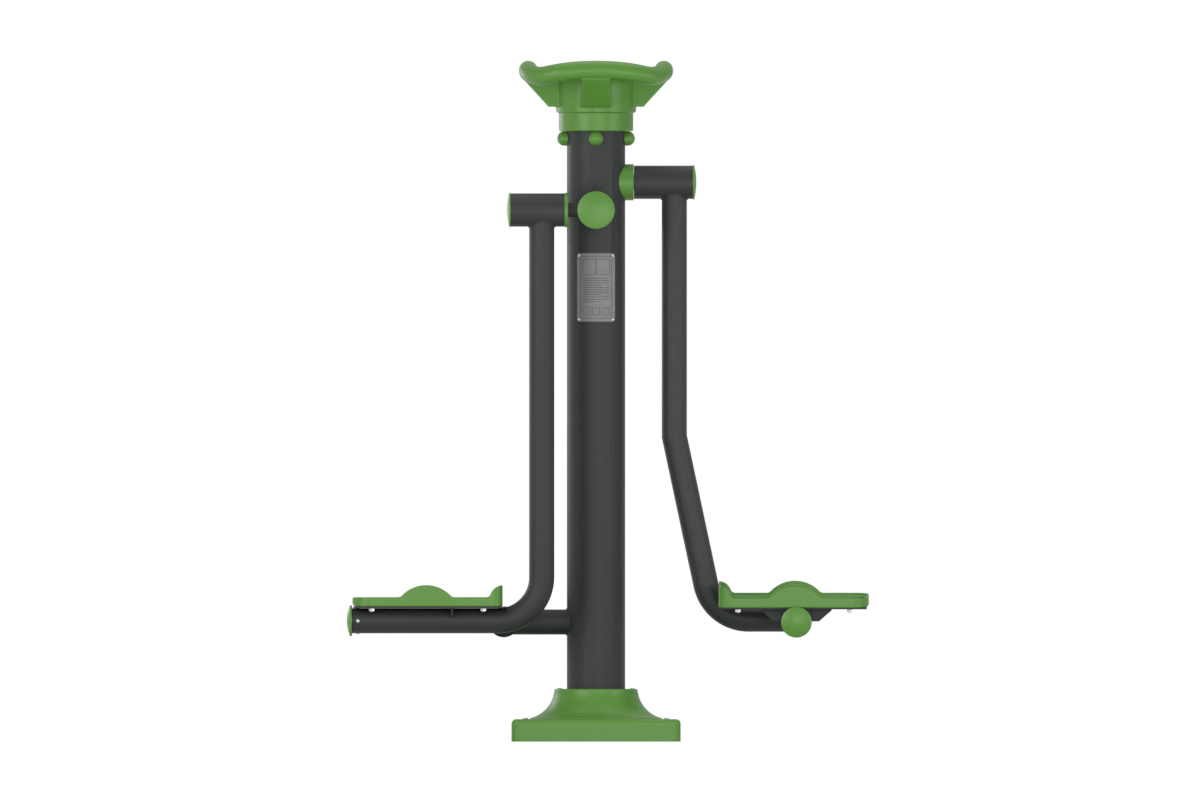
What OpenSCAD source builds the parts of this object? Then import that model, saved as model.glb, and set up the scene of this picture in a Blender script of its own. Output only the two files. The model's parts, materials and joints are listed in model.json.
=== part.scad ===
// Outdoor two-station swing trainer on one post, in millimetres, +Z up.
// Origin: post axis at ground level. Front is -Y. The two walkers hang on the -X side,
// the side swing on the +X side.

/* [Post] */
// Outside diameter of the post tube
post_d = 139.7; // [120:0.1:160]
// Wall thickness of the post tube
post_wall = 4; // [3:0.5:6]
// Height of the upper rim of the post, inside the wheel's hub
post_top = 1495; // [1470:1:1600]

/* [Base plate] */
// Side of the square base plate
base_side = 380; // [360:1:390]
// Thickness of the base plate
base_t = 12; // [8:1:20]
// Corner radius of the base plate
base_corner_r = 12; // [5:1:30]
// Distance between neighbouring anchor holes
anchor_spacing = 280; // [250:1:290]
// Diameter of an anchor hole
anchor_hole_d = 18; // [12:1:24]
// Thickness of a gusset between post and base plate
gusset_t = 8; // [5:1:12]
// Height of a gusset at the post
gusset_h = 66; // [40:1:75]
// Length of a gusset along the base plate
gusset_reach = 95; // [60:1:105]
// Height of a gusset at its outer end
gusset_toe = 12; // [6:1:20]

/* [Base cover] */
// Side of the cover's square foot
cover_side = 406; // [400:1:440]
// Height of the cover's square foot
cover_foot_h = 53.8; // [45:0.1:65]
// Radius of the foot's upper edges
cover_edge_r = 11; // [6:1:16]
// Radius of the foot's upright corners
cover_corner_r = 17; // [12:1:30]
// Height of the collar's top face
collar_h = 126.5; // [115:0.1:128]
// Diameter of the collar round the post
collar_d = 199.2; // [190:0.1:210]
// Radius of the collar's upper edge
collar_edge_r = 2.5; // [1:0.5:4]
// Radius of the hollow flare between collar and foot
flare_r = 76; // [74:1:85]
// Height of the flare's arc above the foot
flare_lift = 0.7; // [0.5:0.1:2]
// Diameter of the flare's rim on the foot
flare_rim_d = 316; // [280:1:320]
// Wall thickness of the cover
cover_wall = 4; // [3:0.5:5]
// Gap between the cover and the post
cover_gap = 0.5; // [0.3:0.1:1]
// Gap between the two halves of the cover
split_gap = 0.4; // [0.2:0.1:1]
// Width of the lap tongue that joins the halves
tongue_w = 34; // [24:1:40]
// Thickness of the lap tongue
tongue_t = 4; // [3:0.5:6]
// Distance between neighbouring corner screws of the cover
cover_screw_spacing = 338; // [330:1:344]
// Head diameter of a corner screw
corner_head_d = 15; // [12:0.5:18]
// Head height of a corner screw
corner_head_h = 3.2; // [2:0.1:5]
// Diameter of the boss under a corner screw
screw_boss_d = 18; // [14:1:24]
// Radius on which the collar screws stand
collar_screw_r = 87; // [84:0.5:88]
// Head diameter of a small screw
small_head_d = 12; // [9:0.5:13]
// Head height of a small screw
small_head_h = 2.4; // [1.5:0.1:4]
// Shank diameter of the cover and cap screws
screw_d = 6; // [4:0.5:8]

/* [Hand wheel] */
// Length of post held in the wheel's hub
hub_grip = 30; // [20:1:50]
// Diameter of the hub's lower step
hub_low_d = 178.4; // [160:0.1:190]
// Height of the hub's lower step
hub_low_h = 45; // [43:1:60]
// Diameter of the hub's upper drum
hub_up_d = 191.6; // [180:0.1:205]
// Height of the hub's upper drum
hub_up_h = 84; // [60:1:90]
// Radius of the drum's upper edge
hub_edge_r = 8; // [3:1:10]
// Radius of the small edges of the hub
hub_small_r = 3; // [1:0.5:4]
// Wall thickness of the hub
hub_wall = 7; // [4:0.5:10]
// Thickness of the ledge that takes the spigot screws
hub_ledge = 6; // [4:0.5:10]
// Diameter of the round grip bar
grip_d = 44.8; // [30:0.1:50]
// Half side of the rounded square that the grip bar follows
grip_half = 162.7; // [150:0.1:185]
// Corner radius of the rounded square
grip_corner_r = 95; // [60:1:130]
// Mean height of the grip bar above the hub's underside
grip_height = 139.5; // [125:0.5:160]
// Rise and fall of the grip bar between sides and corners
grip_wave = 7.35; // [0:0.05:15]
// Power of the arch along each side: 2 gives a parabola
grip_arch = 2.2; // [2:0.1:5]
// Power of the round valley between two arches: a larger one turns more tightly
grip_valley = 16; // [8:1:24]
// Width of a spoke at its lower edge
spoke_low_w = 75; // [50:1:90]
// Width of a spoke under the grip bar
spoke_top_w = 58; // [40:1:75]
// Height of a spoke's lower face above the hub's underside
spoke_low_z = 58.5; // [50:0.5:70]
// Distance of a spoke's lower corner from the post axis
spoke_low_r = 114; // [100:1:130]
// Distance of a spoke's upper corner from the post axis
spoke_top_r = 174; // [165:1:180]
// Height of a spoke's upper corner above the hub's underside
spoke_top_z = 124; // [110:1:128]

/* [Wheel spigot] */
// Length of the spigot inside the post
spigot_l = 95; // [70:1:150]
// Wall thickness of the spigot
spigot_wall = 4; // [3:0.5:6]
// Gap between spigot and post
spigot_gap = 0.5; // [0.2:0.1:1]
// Thickness of the spigot's flange
flange_t = 6; // [4:0.5:10]
// Hole through the flange
flange_hole_d = 70; // [50:1:80]
// Circle of the spigot screws
spigot_screw_circle = 98; // [90:1:105]
// Distance of the radial bolts below the hub
bolt_drop = 17.5; // [17.5:0.5:30]
// Diameter of a radial bolt
bolt_d = 12; // [8:1:16]
// Width across flats of a bolt head or nut
bolt_af = 19; // [15:1:22]
// Height of a bolt head
bolt_head_h = 8; // [5:0.5:9]
// Height of the nut welded inside the spigot
bolt_nut_h = 10; // [6:0.5:14]
// Diameter of a dome cap over a bolt head
bolt_cap_d = 34.6; // [30:0.1:35]
// Length of the round skirt of a dome cap
bolt_cap_skirt = 10; // [8:0.5:14]
// Height of the dome on a cap
bolt_cap_dome = 13.5; // [8:0.5:17]
// Wall thickness of a dome cap
bolt_cap_wall = 2.5; // [1.5:0.5:4]

/* [Information plate] */
// Width of the plate, measured straight across
plate_w = 91; // [70:1:100]
// Height of the plate
plate_h = 164; // [120:1:200]
// Height of the plate's centre above the ground
plate_z = 1090; // [900:1:1140]
// Thickness of the plate
plate_t = 1.5; // [1:0.1:3]
// Corner radius of the plate
plate_corner_r = 5; // [2:0.5:12]
// Distance of a rivet from the plate's edges
rivet_inset = 5.2; // [4:0.1:10]
// Head diameter of a rivet
rivet_head_d = 6.4; // [5:0.1:8]
// Head height of a rivet
rivet_head_h = 1.6; // [1:0.1:3]
// Shank diameter of a rivet
rivet_d = 4; // [3:0.1:5]

/* [Cross arm] */
// Diameter of the cross arm
arm_d = 76.1; // [60:0.1:90]
// Wall thickness of the cross arm
arm_wall = 4; // [3:0.5:6]
// Distance from the post axis to an end of the arm
arm_half = 214; // [212:1:260]
// Diameter of the disc cap on each end
arm_cap_d = 90; // [86:0.5:98]
// Thickness of the disc cap's flange
arm_cap_flange = 5; // [3:0.5:8]
// Height of the disc cap's dome
arm_cap_dome = 6; // [3:0.5:12]

/* [Pivots] */
// Diameter of an axle
axle_d = 35; // [30:1:38]
// Outside diameter of a pivot bearing
bearing_d = 72; // [70:1:73]
// Width of a pivot bearing
bearing_w = 17; // [12:1:20]
// Diameter of a bearing ball
ball_d = 11; // [8:0.5:11.5]
// Number of balls in a bearing
ball_count = 9; // [7:1:10]
// Outside diameter of a bearing housing
housing_d = 80; // [78:0.1:88]
// Room between the inboard end of a housing and its first bearing
bearing_inset = 8.3; // [8:0.1:12]
// Room between the second bearing and the outboard end of a housing
nut_room = 17; // [16:0.5:25]
// Outside diameter of the spacer sleeve on the axle
spacer_d = 46; // [44:1:47]
// Width of the stop key on the spacer sleeve
key_w = 10; // [6:1:14]
// Length of the stop key along the axle
key_l = 14; // [8:1:18]
// Radius that the stop key reaches
key_r = 30; // [28:0.5:31]
// Largest swing to either side that the stop ring allows, in degrees
swing_limit = 50; // [30:1:60]
// Diameter of the shoulder that locates the first bearing
shoulder_d = 44; // [42:1:46]
// Thickness of the shoulder
shoulder_t = 5; // [3:0.5:6]
// Diameter of the axle's threaded end
thread_d = 30; // [24:1:30]
// Outside diameter of the washer under the lock nut
washer_d = 45; // [42:1:46]
// Thickness of the washer
washer_t = 3; // [2:0.5:4]
// Width across flats of the lock nut
lock_nut_af = 46; // [40:1:50]
// Height of the lock nut
lock_nut_h = 10; // [8:0.5:10]
// Diameter of the pin through spacer and axle
pin_d = 8; // [5:0.5:10]
// Flange diameter of the cap on a housing
housing_cap_d = 82.6; // [82:0.1:90]
// Flange thickness of the cap on a housing
housing_cap_flange = 3.5; // [2:0.5:5]
// Dome height of the cap on a housing
housing_cap_dome = 5; // [3:0.5:10]
// Diameter of the seal ring on the inboard end of a walker housing
seal_d = 82.6; // [82:0.1:90]
// Thickness of the seal ring
seal_t = 9.1; // [4:0.1:10]

/* [Pendulum tubes] */
// Diameter of the pendulum and foot tubes
tube_d = 60.3; // [50:0.1:64]
// Wall thickness of the pendulum and foot tubes
tube_wall = 3.2; // [2:0.1:5]
// Centreline radius of a tube bend
bend_r = 105; // [90:1:130]
// Flange diameter of a tube cap
tube_cap_d = 74; // [66:0.5:80]
// Flange thickness of a tube cap
tube_cap_flange = 5; // [3:0.5:8]
// Dome height of a tube cap
tube_cap_dome = 7.3; // [4:0.1:12]
// Depth of a tube cap's plug inside its tube
cap_plug_l = 20; // [18:1:30]
// Wall thickness of a cap's plug
cap_plug_wall = 4; // [3:0.5:6]
// Distance of a cap screw from the tube's end
cap_screw_inset = 14; // [10:0.5:16]
// Head diameter of a cap screw
cap_screw_head_d = 9; // [7:0.5:12]
// Head height of a cap screw
cap_screw_head_h = 2; // [1:0.1:4]

/* [Walkers] */
// Height of the walker axles
walker_pivot_z = 1275.8; // [1230:0.1:1290]
// Distance of each walker axle from the middle plane
walker_y = 180; // [176:1:190]
// Distance of the walker housings' inboard ends from the post axis
walker_inboard = 75.7; // [73:0.1:80]
// Length of a walker housing
walker_housing_l = 129.1; // [122:0.1:150]
// Distance of a walker's upright tube from the post axis
walker_tube_x = 130.4; // [125:0.1:150]
// Height of a walker's foot tube
walker_foot_z = 290; // [270:1:300]
// Distance of a walker foot tube's end from the post axis
walker_foot_end = 585.7; // [583:0.1:640]
// Distance of a walker pedal's centre from the post axis
walker_pedal_x = 404.5; // [403:0.5:405]
// Length of a walker's foot plate
walker_plate_l = 369; // [350:1:370]
// Distance of a walker foot plate's centre from the post axis
walker_plate_x = 398.5; // [397:0.5:400]
// Distance of the rib under a walker foot plate from the post axis
walker_rib_x = 346; // [320:1:400]

/* [Side swing] */
// Height of the side swing's axle
swing_pivot_z = 1342.3; // [1330:0.1:1380]
// Distance of the swing housing's inboard end from the post axis
swing_inboard = 90.8; // [85:0.1:110]
// Length of the swing housing
swing_housing_l = 141.4; // [130:0.1:160]
// Diameter of the stub that carries the swing axle
stub_d = 76.1; // [60:0.1:80]
// Diameter of the trim collar round the stub
stub_collar_d = 87; // [84:0.1:95]
// Distance of the swing's upright tube from the post axis
swing_tube_x = 187.9; // [170:0.1:190]
// Height of the kink in the swing's upright tube
kink_z = 732; // [650:1:900]
// Angle of the kink, in degrees
kink_angle = 12; // [5:1:15]
// Height of the swing's foot tube
swing_foot_z = 292.9; // [280:0.1:310]
// Distance of the cross tube from the post axis
cross_tube_x = 480.8; // [470:0.1:500]
// Distance from the middle plane to an end of the cross tube
cross_tube_half = 172; // [168:1:200]
// Distance of the swing pedals' centre from the post axis
swing_pedal_x = 474.6; // [460:0.1:490]
// Gap between the two swing pedals
swing_pedal_gap = 63; // [61:1:66]
// Length of a swing foot plate
swing_plate_l = 351; // [340:1:355]
// Length of a bracket wing at the foot plate
wing_top_l = 169; // [120:1:200]
// Length of a bracket wing at its lower edge
wing_low_l = 108.7; // [80:1:110]
// Rest angle of the side swing from upright, in degrees
rest_lean = 2.4; // [0:0.1:5]

/* [Foot plates] */
// Width of a foot plate
foot_plate_w = 122; // [112:1:130]
// Thickness of a foot plate
foot_plate_t = 4; // [3:0.5:6]
// Corner radius of a foot plate
foot_plate_r = 14; // [5:1:25]
// Thickness of a rib or bracket wing
rib_t = 5; // [4:0.5:8]
// Width of a rib at the foot plate
rib_top_w = 108; // [90:1:112]
// Height of a rib's upright edge
rib_edge_h = 4; // [2:0.5:8]
// Depth of a rib below the foot plate
rib_depth = 24; // [15:1:30]

/* [Pedals] */
// Length of a pedal
pedal_l = 360.4; // [350:0.1:362]
// Width of a pedal
pedal_w = 136; // [130:1:140]
// Thickness of a pedal's floor
pedal_floor = 5; // [4:0.5:8]
// Wall thickness of a pedal
pedal_wall = 5; // [3:0.5:7]
// Height of a pedal's rim
pedal_rim_h = 22.4; // [18:0.1:30]
// Height of the hump and of the toe end
pedal_high = 51.2; // [40:0.1:60]
// Distance of the hump's top from the pedal's centre, toward the heel
hump_offset = 3; // [0:0.5:20]
// Radius of the hump's round top
hump_r = 81; // [60:0.1:90]
// Radius of the round top at the toe end
toe_arc_r = 33; // [29:0.5:36]
// Distance of that round top's centre beyond the pedal's toe end
toe_arc_beyond = 2; // [1:0.5:5]
// Radius of the hollow curve at the foot of the hump and the toe end
sweep_r = 9; // [8:0.1:20]
// Radius of the pedal's corners at the heel, seen from above
heel_corner_r = 42; // [25:1:60]
// Radius of the pedal's corners at the toe, seen from above
toe_corner_r = 26; // [15:1:40]
// Radius under the heel
heel_under_r = 9; // [4:0.5:14]
// Radius on top of the heel's wall
heel_top_r = 4; // [1:0.5:6]
// Distance between the pedal bolts along the pedal
pedal_bolt_l = 268; // [240:1:280]
// Distance between the pedal bolts across the pedal
pedal_bolt_w = 88; // [82:1:94]
// Diameter of a pedal bolt
pedal_bolt_d = 8; // [6:0.5:10]
// Head diameter of a pedal bolt
pedal_head_d = 16; // [12:0.5:18]
// Head height of a pedal bolt
pedal_head_h = 3.5; // [2:0.5:6]
// Width across flats of a pedal nut
pedal_nut_af = 13; // [10:0.5:17]
// Height of a pedal nut
pedal_nut_h = 7.4; // [5:0.1:10]
// Bolt thread left showing below the nut
thread_tail = 1.5; // [0:0.5:5]
// Number of tread bars across a pedal's floor
tread_count = 13; // [5:2:17]
// Distance between neighbouring tread bars
tread_pitch = 18; // [14:0.5:20]
// Width of a tread bar
tread_w = 5; // [3:0.5:8]
// Height of a tread bar
tread_h = 2; // [1:0.5:3]
// Length of a tread bar
tread_l = 66; // [50:1:70]

/* [Stop arm] */
// Height of the stop arm
stop_z = 287; // [280:0.5:290]
// Distance of the stop's cross bar from the post axis
stop_x = 221.6; // [210:0.1:235]
// Distance from the middle plane to a buffer's outer face
buffer_reach = 60; // [50:0.5:60]
// Diameter of a buffer
buffer_d = 74; // [66:0.5:74]
// Thickness of a buffer in front of the cross bar
buffer_t = 15; // [8:0.5:20]
// Depth of a buffer's plug inside the cross bar
buffer_plug_l = 16; // [8:0.5:30]

/* [Hidden] */
$fn = 64;

// Run of a cutting solid past the face it cuts
over = 2;
// Gap left at welded seams and under screw heads
seam = 0.2;
// Radial clearance of seated metal parts
seat = 0.05;
// Gap at the butt weld between swing tube and elbow
butt_gap = 0.05;
// Gap round plastic plugs and trim
slip = 0.3;
// Gap between parts that move past each other
run_gap = 0.5;
// Extra angle past the swing limit before the key meets the stop ring, in degrees
stop_margin = 0.5;
// Share of a ball's diameter between pitch circle and ring land
land_share = 0.3;

post_r = post_d / 2;
post_inner_r = post_r - post_wall;
hub_z = post_top - hub_grip;
tube_r = tube_d / 2;
axle_r = axle_d / 2;
bearing_r = bearing_d / 2;
ball_r = ball_d / 2;
pitch_r = (bearing_r + axle_r) / 2;
spacer_r = spacer_d / 2;
housing_bore_r = bearing_r + seat;
// The swing's slope would meet the foot tube's axis at slope_foot_x from the upright's axis
slope_foot_x = tan(kink_angle) * (kink_z - swing_foot_z);
bend_tangent = bend_r * tan((90 - kink_angle) / 2);
slope_l = (kink_z - swing_foot_z) / cos(kink_angle) - bend_tangent;
plate_on_walker_z = walker_foot_z + tube_r + seam;
plate_on_swing_z = swing_foot_z + tube_r + seam;
swing_pedal_y = (pedal_w + swing_pedal_gap) / 2;
quarter_turns = [0, 90, 180, 270];
both_sides = [-1, 1];

green = [0.37, 0.56, 0.27];
dark_coat = [0.24, 0.25, 0.25];
zinc = [0.78, 0.78, 0.76];
steel = [0.55, 0.56, 0.57];
rubber = [0.1, 0.1, 0.1];
plate_grey = [0.62, 0.63, 0.64];

// Plain shapes shared by many parts

module rounded_rect(x, y, r) {
    square([x - 2 * r, y], center = true);
    square([x, y - 2 * r], center = true);
    for (sx = both_sides, sy = both_sides)
        translate([sx * (x / 2 - r), sy * (y / 2 - r)])
            circle(r);
}

// The sliver outside a rounded corner whose square corner is at (x, y), toward +X and +Y
module corner_sliver(x, y, r) {
    translate([x - r, y - r])
        difference() {
            square(r + over);
            circle(r);
        }
}

module ring(outer_r, inner_r, length) {
    linear_extrude(length)
        difference() {
            circle(outer_r);
            circle(inner_r);
        }
}

// Spherical cap of base radius r and height h, standing on z = 0
module dome(r, h) {
    ball = (r * r + h * h) / (2 * h);
    rotate_extrude()
        intersection() {
            translate([0, h - ball]) circle(ball, $fn = 360);
            square(2 * ball);
        }
}

module button_screw(head_d, head_h, shank_d, shank_l) {
    dome(head_d / 2, head_h);
    translate([0, 0, -shank_l]) cylinder(h = shank_l + head_h / 2, d = shank_d);
}

module hexagon(across, height) {
    cylinder(h = height, r = across / 2 / cos(30), $fn = 6);
}

module nut(across, height, bore_d) {
    difference() {
        hexagon(across, height);
        translate([0, 0, -over]) cylinder(h = height + 2 * over, d = bore_d + 2 * seat);
    }
}

module at_corners(spacing_x, spacing_y) {
    for (sx = both_sides, sy = both_sides)
        translate([sx * spacing_x / 2, sy * spacing_y / 2, 0])
            children();
}

// Turns local +Z outward from the post at each quarter turn
module round_post(radius, z) {
    for (a = quarter_turns)
        rotate([0, 0, a])
            translate([radius, 0, z])
                rotate([0, 90, 0])
                    children();
}

// Push-in cap: plug below z = 0, flange and dome above
module push_cap(flange_d, flange_t, dome_h, plug_r, plug_l) {
    cylinder(h = flange_t, d = flange_d);
    translate([0, 0, flange_t]) dome(flange_d / 2 - seam, dome_h);
    translate([0, 0, -plug_l]) ring(plug_r, plug_r - cap_plug_wall, plug_l);
}

// Tube bend that starts at the origin heading +Z and turns toward +X
module tube_bend(angle) {
    translate([bend_r, 0, 0])
        mirror([1, 0, 0])
            rotate([90, 0, 0])
                rotate_extrude(angle = angle)
                    translate([bend_r, 0])
                        difference() {
                            circle(tube_r);
                            circle(tube_r - tube_wall);
                        }
}

// Solid of the same bend, for cutting what is welded to it
module bend_cut(angle) {
    translate([bend_r, 0, 0])
        mirror([1, 0, 0])
            rotate([90, 0, 0])
                rotate_extrude(angle = angle)
                    translate([bend_r, 0]) circle(tube_r + seam);
}

module after_bend(angle) {
    translate([bend_r * (1 - cos(angle)), 0, bend_r * sin(angle)])
        rotate([0, angle, 0])
            children();
}

module tube_leg(length) {
    ring(tube_r, tube_r - tube_wall, length);
}

// Stand

module post() {
    color(dark_coat)
        difference() {
            translate([0, 0, base_t]) ring(post_r, post_inner_r, post_top - base_t);
            translate([0, 0, walker_pivot_z])
                rotate([90, 0, 0])
                    cylinder(h = post_d + 2 * over, d = arm_d + 2 * seam, center = true);
            translate([0, 0, swing_pivot_z])
                rotate([0, 90, 0])
                    cylinder(h = post_d, d = stub_d + 2 * seam);
            round_post(post_inner_r - over, hub_z - bolt_drop)
                cylinder(h = post_wall + 2 * over, d = bolt_d + 2 * seam);
            rivet_places(post_inner_r - over)
                cylinder(h = post_wall + 2 * over, d = rivet_d + 2 * seat);
        }
}

module base_plate() {
    color(steel)
        difference() {
            linear_extrude(base_t) rounded_rect(base_side, base_side, base_corner_r);
            at_corners(anchor_spacing, anchor_spacing)
                translate([0, 0, -over]) cylinder(h = base_t + 2 * over, d = anchor_hole_d);
            at_corners(cover_screw_spacing, cover_screw_spacing)
                translate([0, 0, -over]) cylinder(h = base_t + 2 * over, d = screw_d + 2 * seat);
        }
}

module base_gussets() {
    color(steel)
        for (a = quarter_turns)
            rotate([90, 0, a])
                linear_extrude(gusset_t, center = true)
                    polygon([
                        [post_r + seam, base_t],
                        [post_r + gusset_reach, base_t],
                        [post_r + gusset_reach, base_t + gusset_toe],
                        [post_r + gusset_toe, base_t + gusset_h],
                        [post_r + seam, base_t + gusset_h]
                    ]);
}

module foot_outline(side, top, edge_r, bottom) {
    difference() {
        translate([-side / 2, bottom]) square([side, top - bottom]);
        for (m = [0, 1]) mirror([m, 0]) corner_sliver(side / 2, top, edge_r);
    }
}

module foot_block(side, top, edge_r, corner_r, bottom) {
    intersection() {
        translate([0, 0, bottom]) linear_extrude(top - bottom) rounded_rect(side, side, corner_r);
        rotate([90, 0, 0])
            linear_extrude(side, center = true) foot_outline(side, top, edge_r, bottom);
        rotate([90, 0, 90])
            linear_extrude(side, center = true) foot_outline(side, top, edge_r, bottom);
    }
}

// Solid of the flare between collar and foot: its hollow side is one arc
module flare_block(top, rim_r, arc_r, bottom, edge_r) {
    rotate_extrude()
        difference() {
            translate([0, bottom]) square([rim_r, top - bottom]);
            translate([collar_d / 2 + flare_r, cover_foot_h + flare_lift + flare_r]) circle(arc_r);
            if (edge_r > 0) corner_sliver(collar_d / 2, top, edge_r);
        }
}

module collar_screw_places(z) {
    for (side = both_sides)
        translate([side * collar_screw_r, tongue_w / 4, z])
            children();
}

module cover_shell() {
    foot_inner = cover_side - 2 * cover_wall;
    difference() {
        union() {
            foot_block(cover_side, cover_foot_h, cover_edge_r, cover_corner_r, 0);
            flare_block(collar_h, flare_rim_d / 2, flare_r, cover_foot_h - cover_wall, collar_edge_r);
        }
        foot_block(foot_inner, cover_foot_h - cover_wall, cover_edge_r - cover_wall,
            cover_corner_r - cover_wall, -over);
        flare_block(collar_h - cover_wall, flare_rim_d / 2 - cover_wall, flare_r + cover_wall,
            cover_foot_h - 2 * cover_wall, 0);
        cylinder(h = collar_h + over, r = post_r + cover_gap);
        at_corners(cover_screw_spacing, cover_screw_spacing)
            cylinder(h = collar_h, d = screw_d + 2 * seam);
        collar_screw_places(0) cylinder(h = collar_h + over, d = screw_d + 2 * seam);
    }
    at_corners(cover_screw_spacing, cover_screw_spacing)
        translate([0, 0, base_t])
            ring(screw_boss_d / 2, screw_d / 2 + seam, cover_foot_h - base_t - cover_wall / 2);
}

module half_space(side) {
    translate([-cover_side, side > 0 ? split_gap / 2 : -cover_side - split_gap / 2, -over])
        cube([2 * cover_side, cover_side, collar_h + 2 * over]);
}

// Tongues under the front half's top that the rear half laps over
module lap_tongues() {
    inner = post_r + cover_gap;
    outer = sqrt(pow(collar_d / 2 - cover_wall, 2) - pow(tongue_w / 2, 2)) - seam;
    under = collar_h - cover_wall;
    difference() {
        for (side = both_sides)
            translate([side * (inner + outer) / 2, 0, under - tongue_t - seam])
                union() {
                    translate([-(outer - inner) / 2, -tongue_w / 2, 0])
                        cube([outer - inner, tongue_w, tongue_t]);
                    translate([-(outer - inner) / 2, -tongue_w / 2, 0])
                        cube([outer - inner, tongue_w / 2 - split_gap, tongue_t + cover_wall / 2]);
                }
        cylinder(h = collar_h + over, r = inner);
        collar_screw_places(0) cylinder(h = collar_h + over, d = screw_d + 2 * seat);
    }
}

module front_base_cover() {
    color(green)
        union() {
            intersection() {
                cover_shell();
                half_space(-1);
            }
            lap_tongues();
        }
}

module rear_base_cover() {
    color(green)
        intersection() {
            cover_shell();
            half_space(1);
        }
}

module cover_screws() {
    color(zinc) {
        at_corners(cover_screw_spacing, cover_screw_spacing)
            translate([0, 0, cover_foot_h])
                button_screw(corner_head_d, corner_head_h, screw_d, cover_foot_h - base_t / 4);
        collar_screw_places(collar_h)
            button_screw(small_head_d, small_head_h, screw_d, cover_wall + tongue_t);
    }
}

// Grip bar path: a rounded square whose sides stand higher than its corners
function grip_reach(phi) =
    let (
        a = abs(phi - 90 * round(phi / 90)),
        c = grip_half - grip_corner_r,
        along = c * (cos(a) + sin(a))
    )
    grip_half * tan(a) <= c
        ? grip_half / cos(a)
        : along + sqrt(along * along - 2 * c * c + grip_corner_r * grip_corner_r);
// Fall of the bar along one side, as a share: an arch that ends in a round valley at the corner
function grip_fall(phi) =
    let (
        along = min(abs(grip_reach(phi) * cos(phi)), abs(grip_reach(phi) * sin(phi))),
        u = along / (grip_half - grip_corner_r + grip_corner_r * sin(45)),
        lift = grip_arch / grip_valley
    )
    pow(u, grip_arch) * (1 + lift - lift * pow(u, grip_valley));
function grip_point(phi) = [
    grip_reach(phi) * cos(phi),
    grip_reach(phi) * sin(phi),
    grip_height + grip_wave * (1 - 2 * grip_fall(phi))
];
function unit(v) = v / norm(v);

module grip_bar(steps, sides) {
    angles = [for (i = [0 : steps - 1]) 360 * i / steps];
    points = [
        for (phi = angles)
            let (
                heading = unit(grip_point(phi + 1) - grip_point(phi - 1)),
                outward = unit(cross(heading, [0, 0, 1])),
                upward = cross(outward, heading)
            )
            for (j = [0 : sides - 1])
                let (t = 360 * j / sides)
                grip_point(phi) + grip_d / 2 * (cos(t) * outward + sin(t) * upward)
    ];
    faces = [
        for (i = [0 : steps - 1], j = [0 : sides - 1])
            let (
                i2 = (i + 1) % steps,
                j2 = (j + 1) % sides,
                p = i * sides + j,
                q = i2 * sides + j,
                r = i2 * sides + j2,
                s = i * sides + j2
            )
            each [[p, r, q], [p, s, r]]
    ];
    polyhedron(points, faces, convexity = 6);
}

module spoke() {
    root = hub_up_d / 2 - 2 * hub_wall;
    drum_top = hub_low_h + hub_up_h;
    side_z = grip_height + grip_wave;
    intersection() {
        rotate([90, 0, 0])
            linear_extrude(spoke_low_w, center = true)
                polygon([
                    [root, spoke_low_z],
                    [spoke_low_r, spoke_low_z],
                    [spoke_top_r, spoke_top_z],
                    [spoke_top_r, side_z - grip_d / 3],
                    [grip_half, side_z],
                    [grip_half - grip_d / 3, side_z - grip_d / 4],
                    [root + hub_wall, drum_top - hub_edge_r],
                    [root, drum_top - hub_edge_r]
                ]);
        rotate([90, 0, 90])
            linear_extrude(grip_half + grip_d)
                polygon([
                    [-spoke_low_w / 2, spoke_low_z - over],
                    [spoke_low_w / 2, spoke_low_z - over],
                    [spoke_top_w / 2, side_z],
                    [-spoke_top_w / 2, side_z]
                ]);
    }
}

module hub_block() {
    rotate_extrude()
        difference() {
            union() {
                square([hub_low_d / 2, hub_low_h + hub_small_r]);
                translate([0, hub_low_h]) square([hub_up_d / 2, hub_up_h]);
            }
            corner_sliver(hub_up_d / 2, hub_low_h + hub_up_h, hub_edge_r);
            mirror([0, 1]) corner_sliver(hub_low_d / 2, 0, hub_small_r);
        }
}

module hand_wheel() {
    ledge_z = hub_grip + flange_t;
    cavity_z = ledge_z + hub_ledge;
    drum_top = hub_low_h + hub_up_h;
    color(green)
        translate([0, 0, hub_z])
            union() {
                difference() {
                    union() {
                        hub_block();
                        for (a = quarter_turns) rotate([0, 0, a]) spoke();
                    }
                    translate([0, 0, -over]) cylinder(h = ledge_z + over, r = post_r + slip);
                    cylinder(h = cavity_z + over, d = flange_hole_d);
                    translate([0, 0, cavity_z])
                        cylinder(h = drum_top - hub_wall - cavity_z, r = hub_low_d / 2 - hub_wall);
                    spigot_screw_places(0) cylinder(h = cavity_z, d = screw_d + 2 * seat);
                }
                grip_bar(96, 20);
            }
}

module spigot_screw_places(z) {
    for (a = quarter_turns)
        rotate([0, 0, a + 45])
            translate([spigot_screw_circle / 2, 0, z])
                children();
}

module wheel_spigot() {
    outer_r = post_inner_r - spigot_gap;
    color(steel)
        translate([0, 0, hub_z])
            difference() {
                union() {
                    translate([0, 0, hub_grip - spigot_l])
                        ring(outer_r, outer_r - spigot_wall, spigot_l + flange_t / 2);
                    translate([0, 0, hub_grip]) ring(post_r, flange_hole_d / 2, flange_t);
                }
                spigot_screw_places(0) cylinder(h = post_top, d = screw_d + 2 * seat);
                round_post(outer_r - spigot_wall - over, -bolt_drop)
                    cylinder(h = spigot_wall + 2 * over, d = bolt_d + 2 * seam);
            }
}

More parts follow.
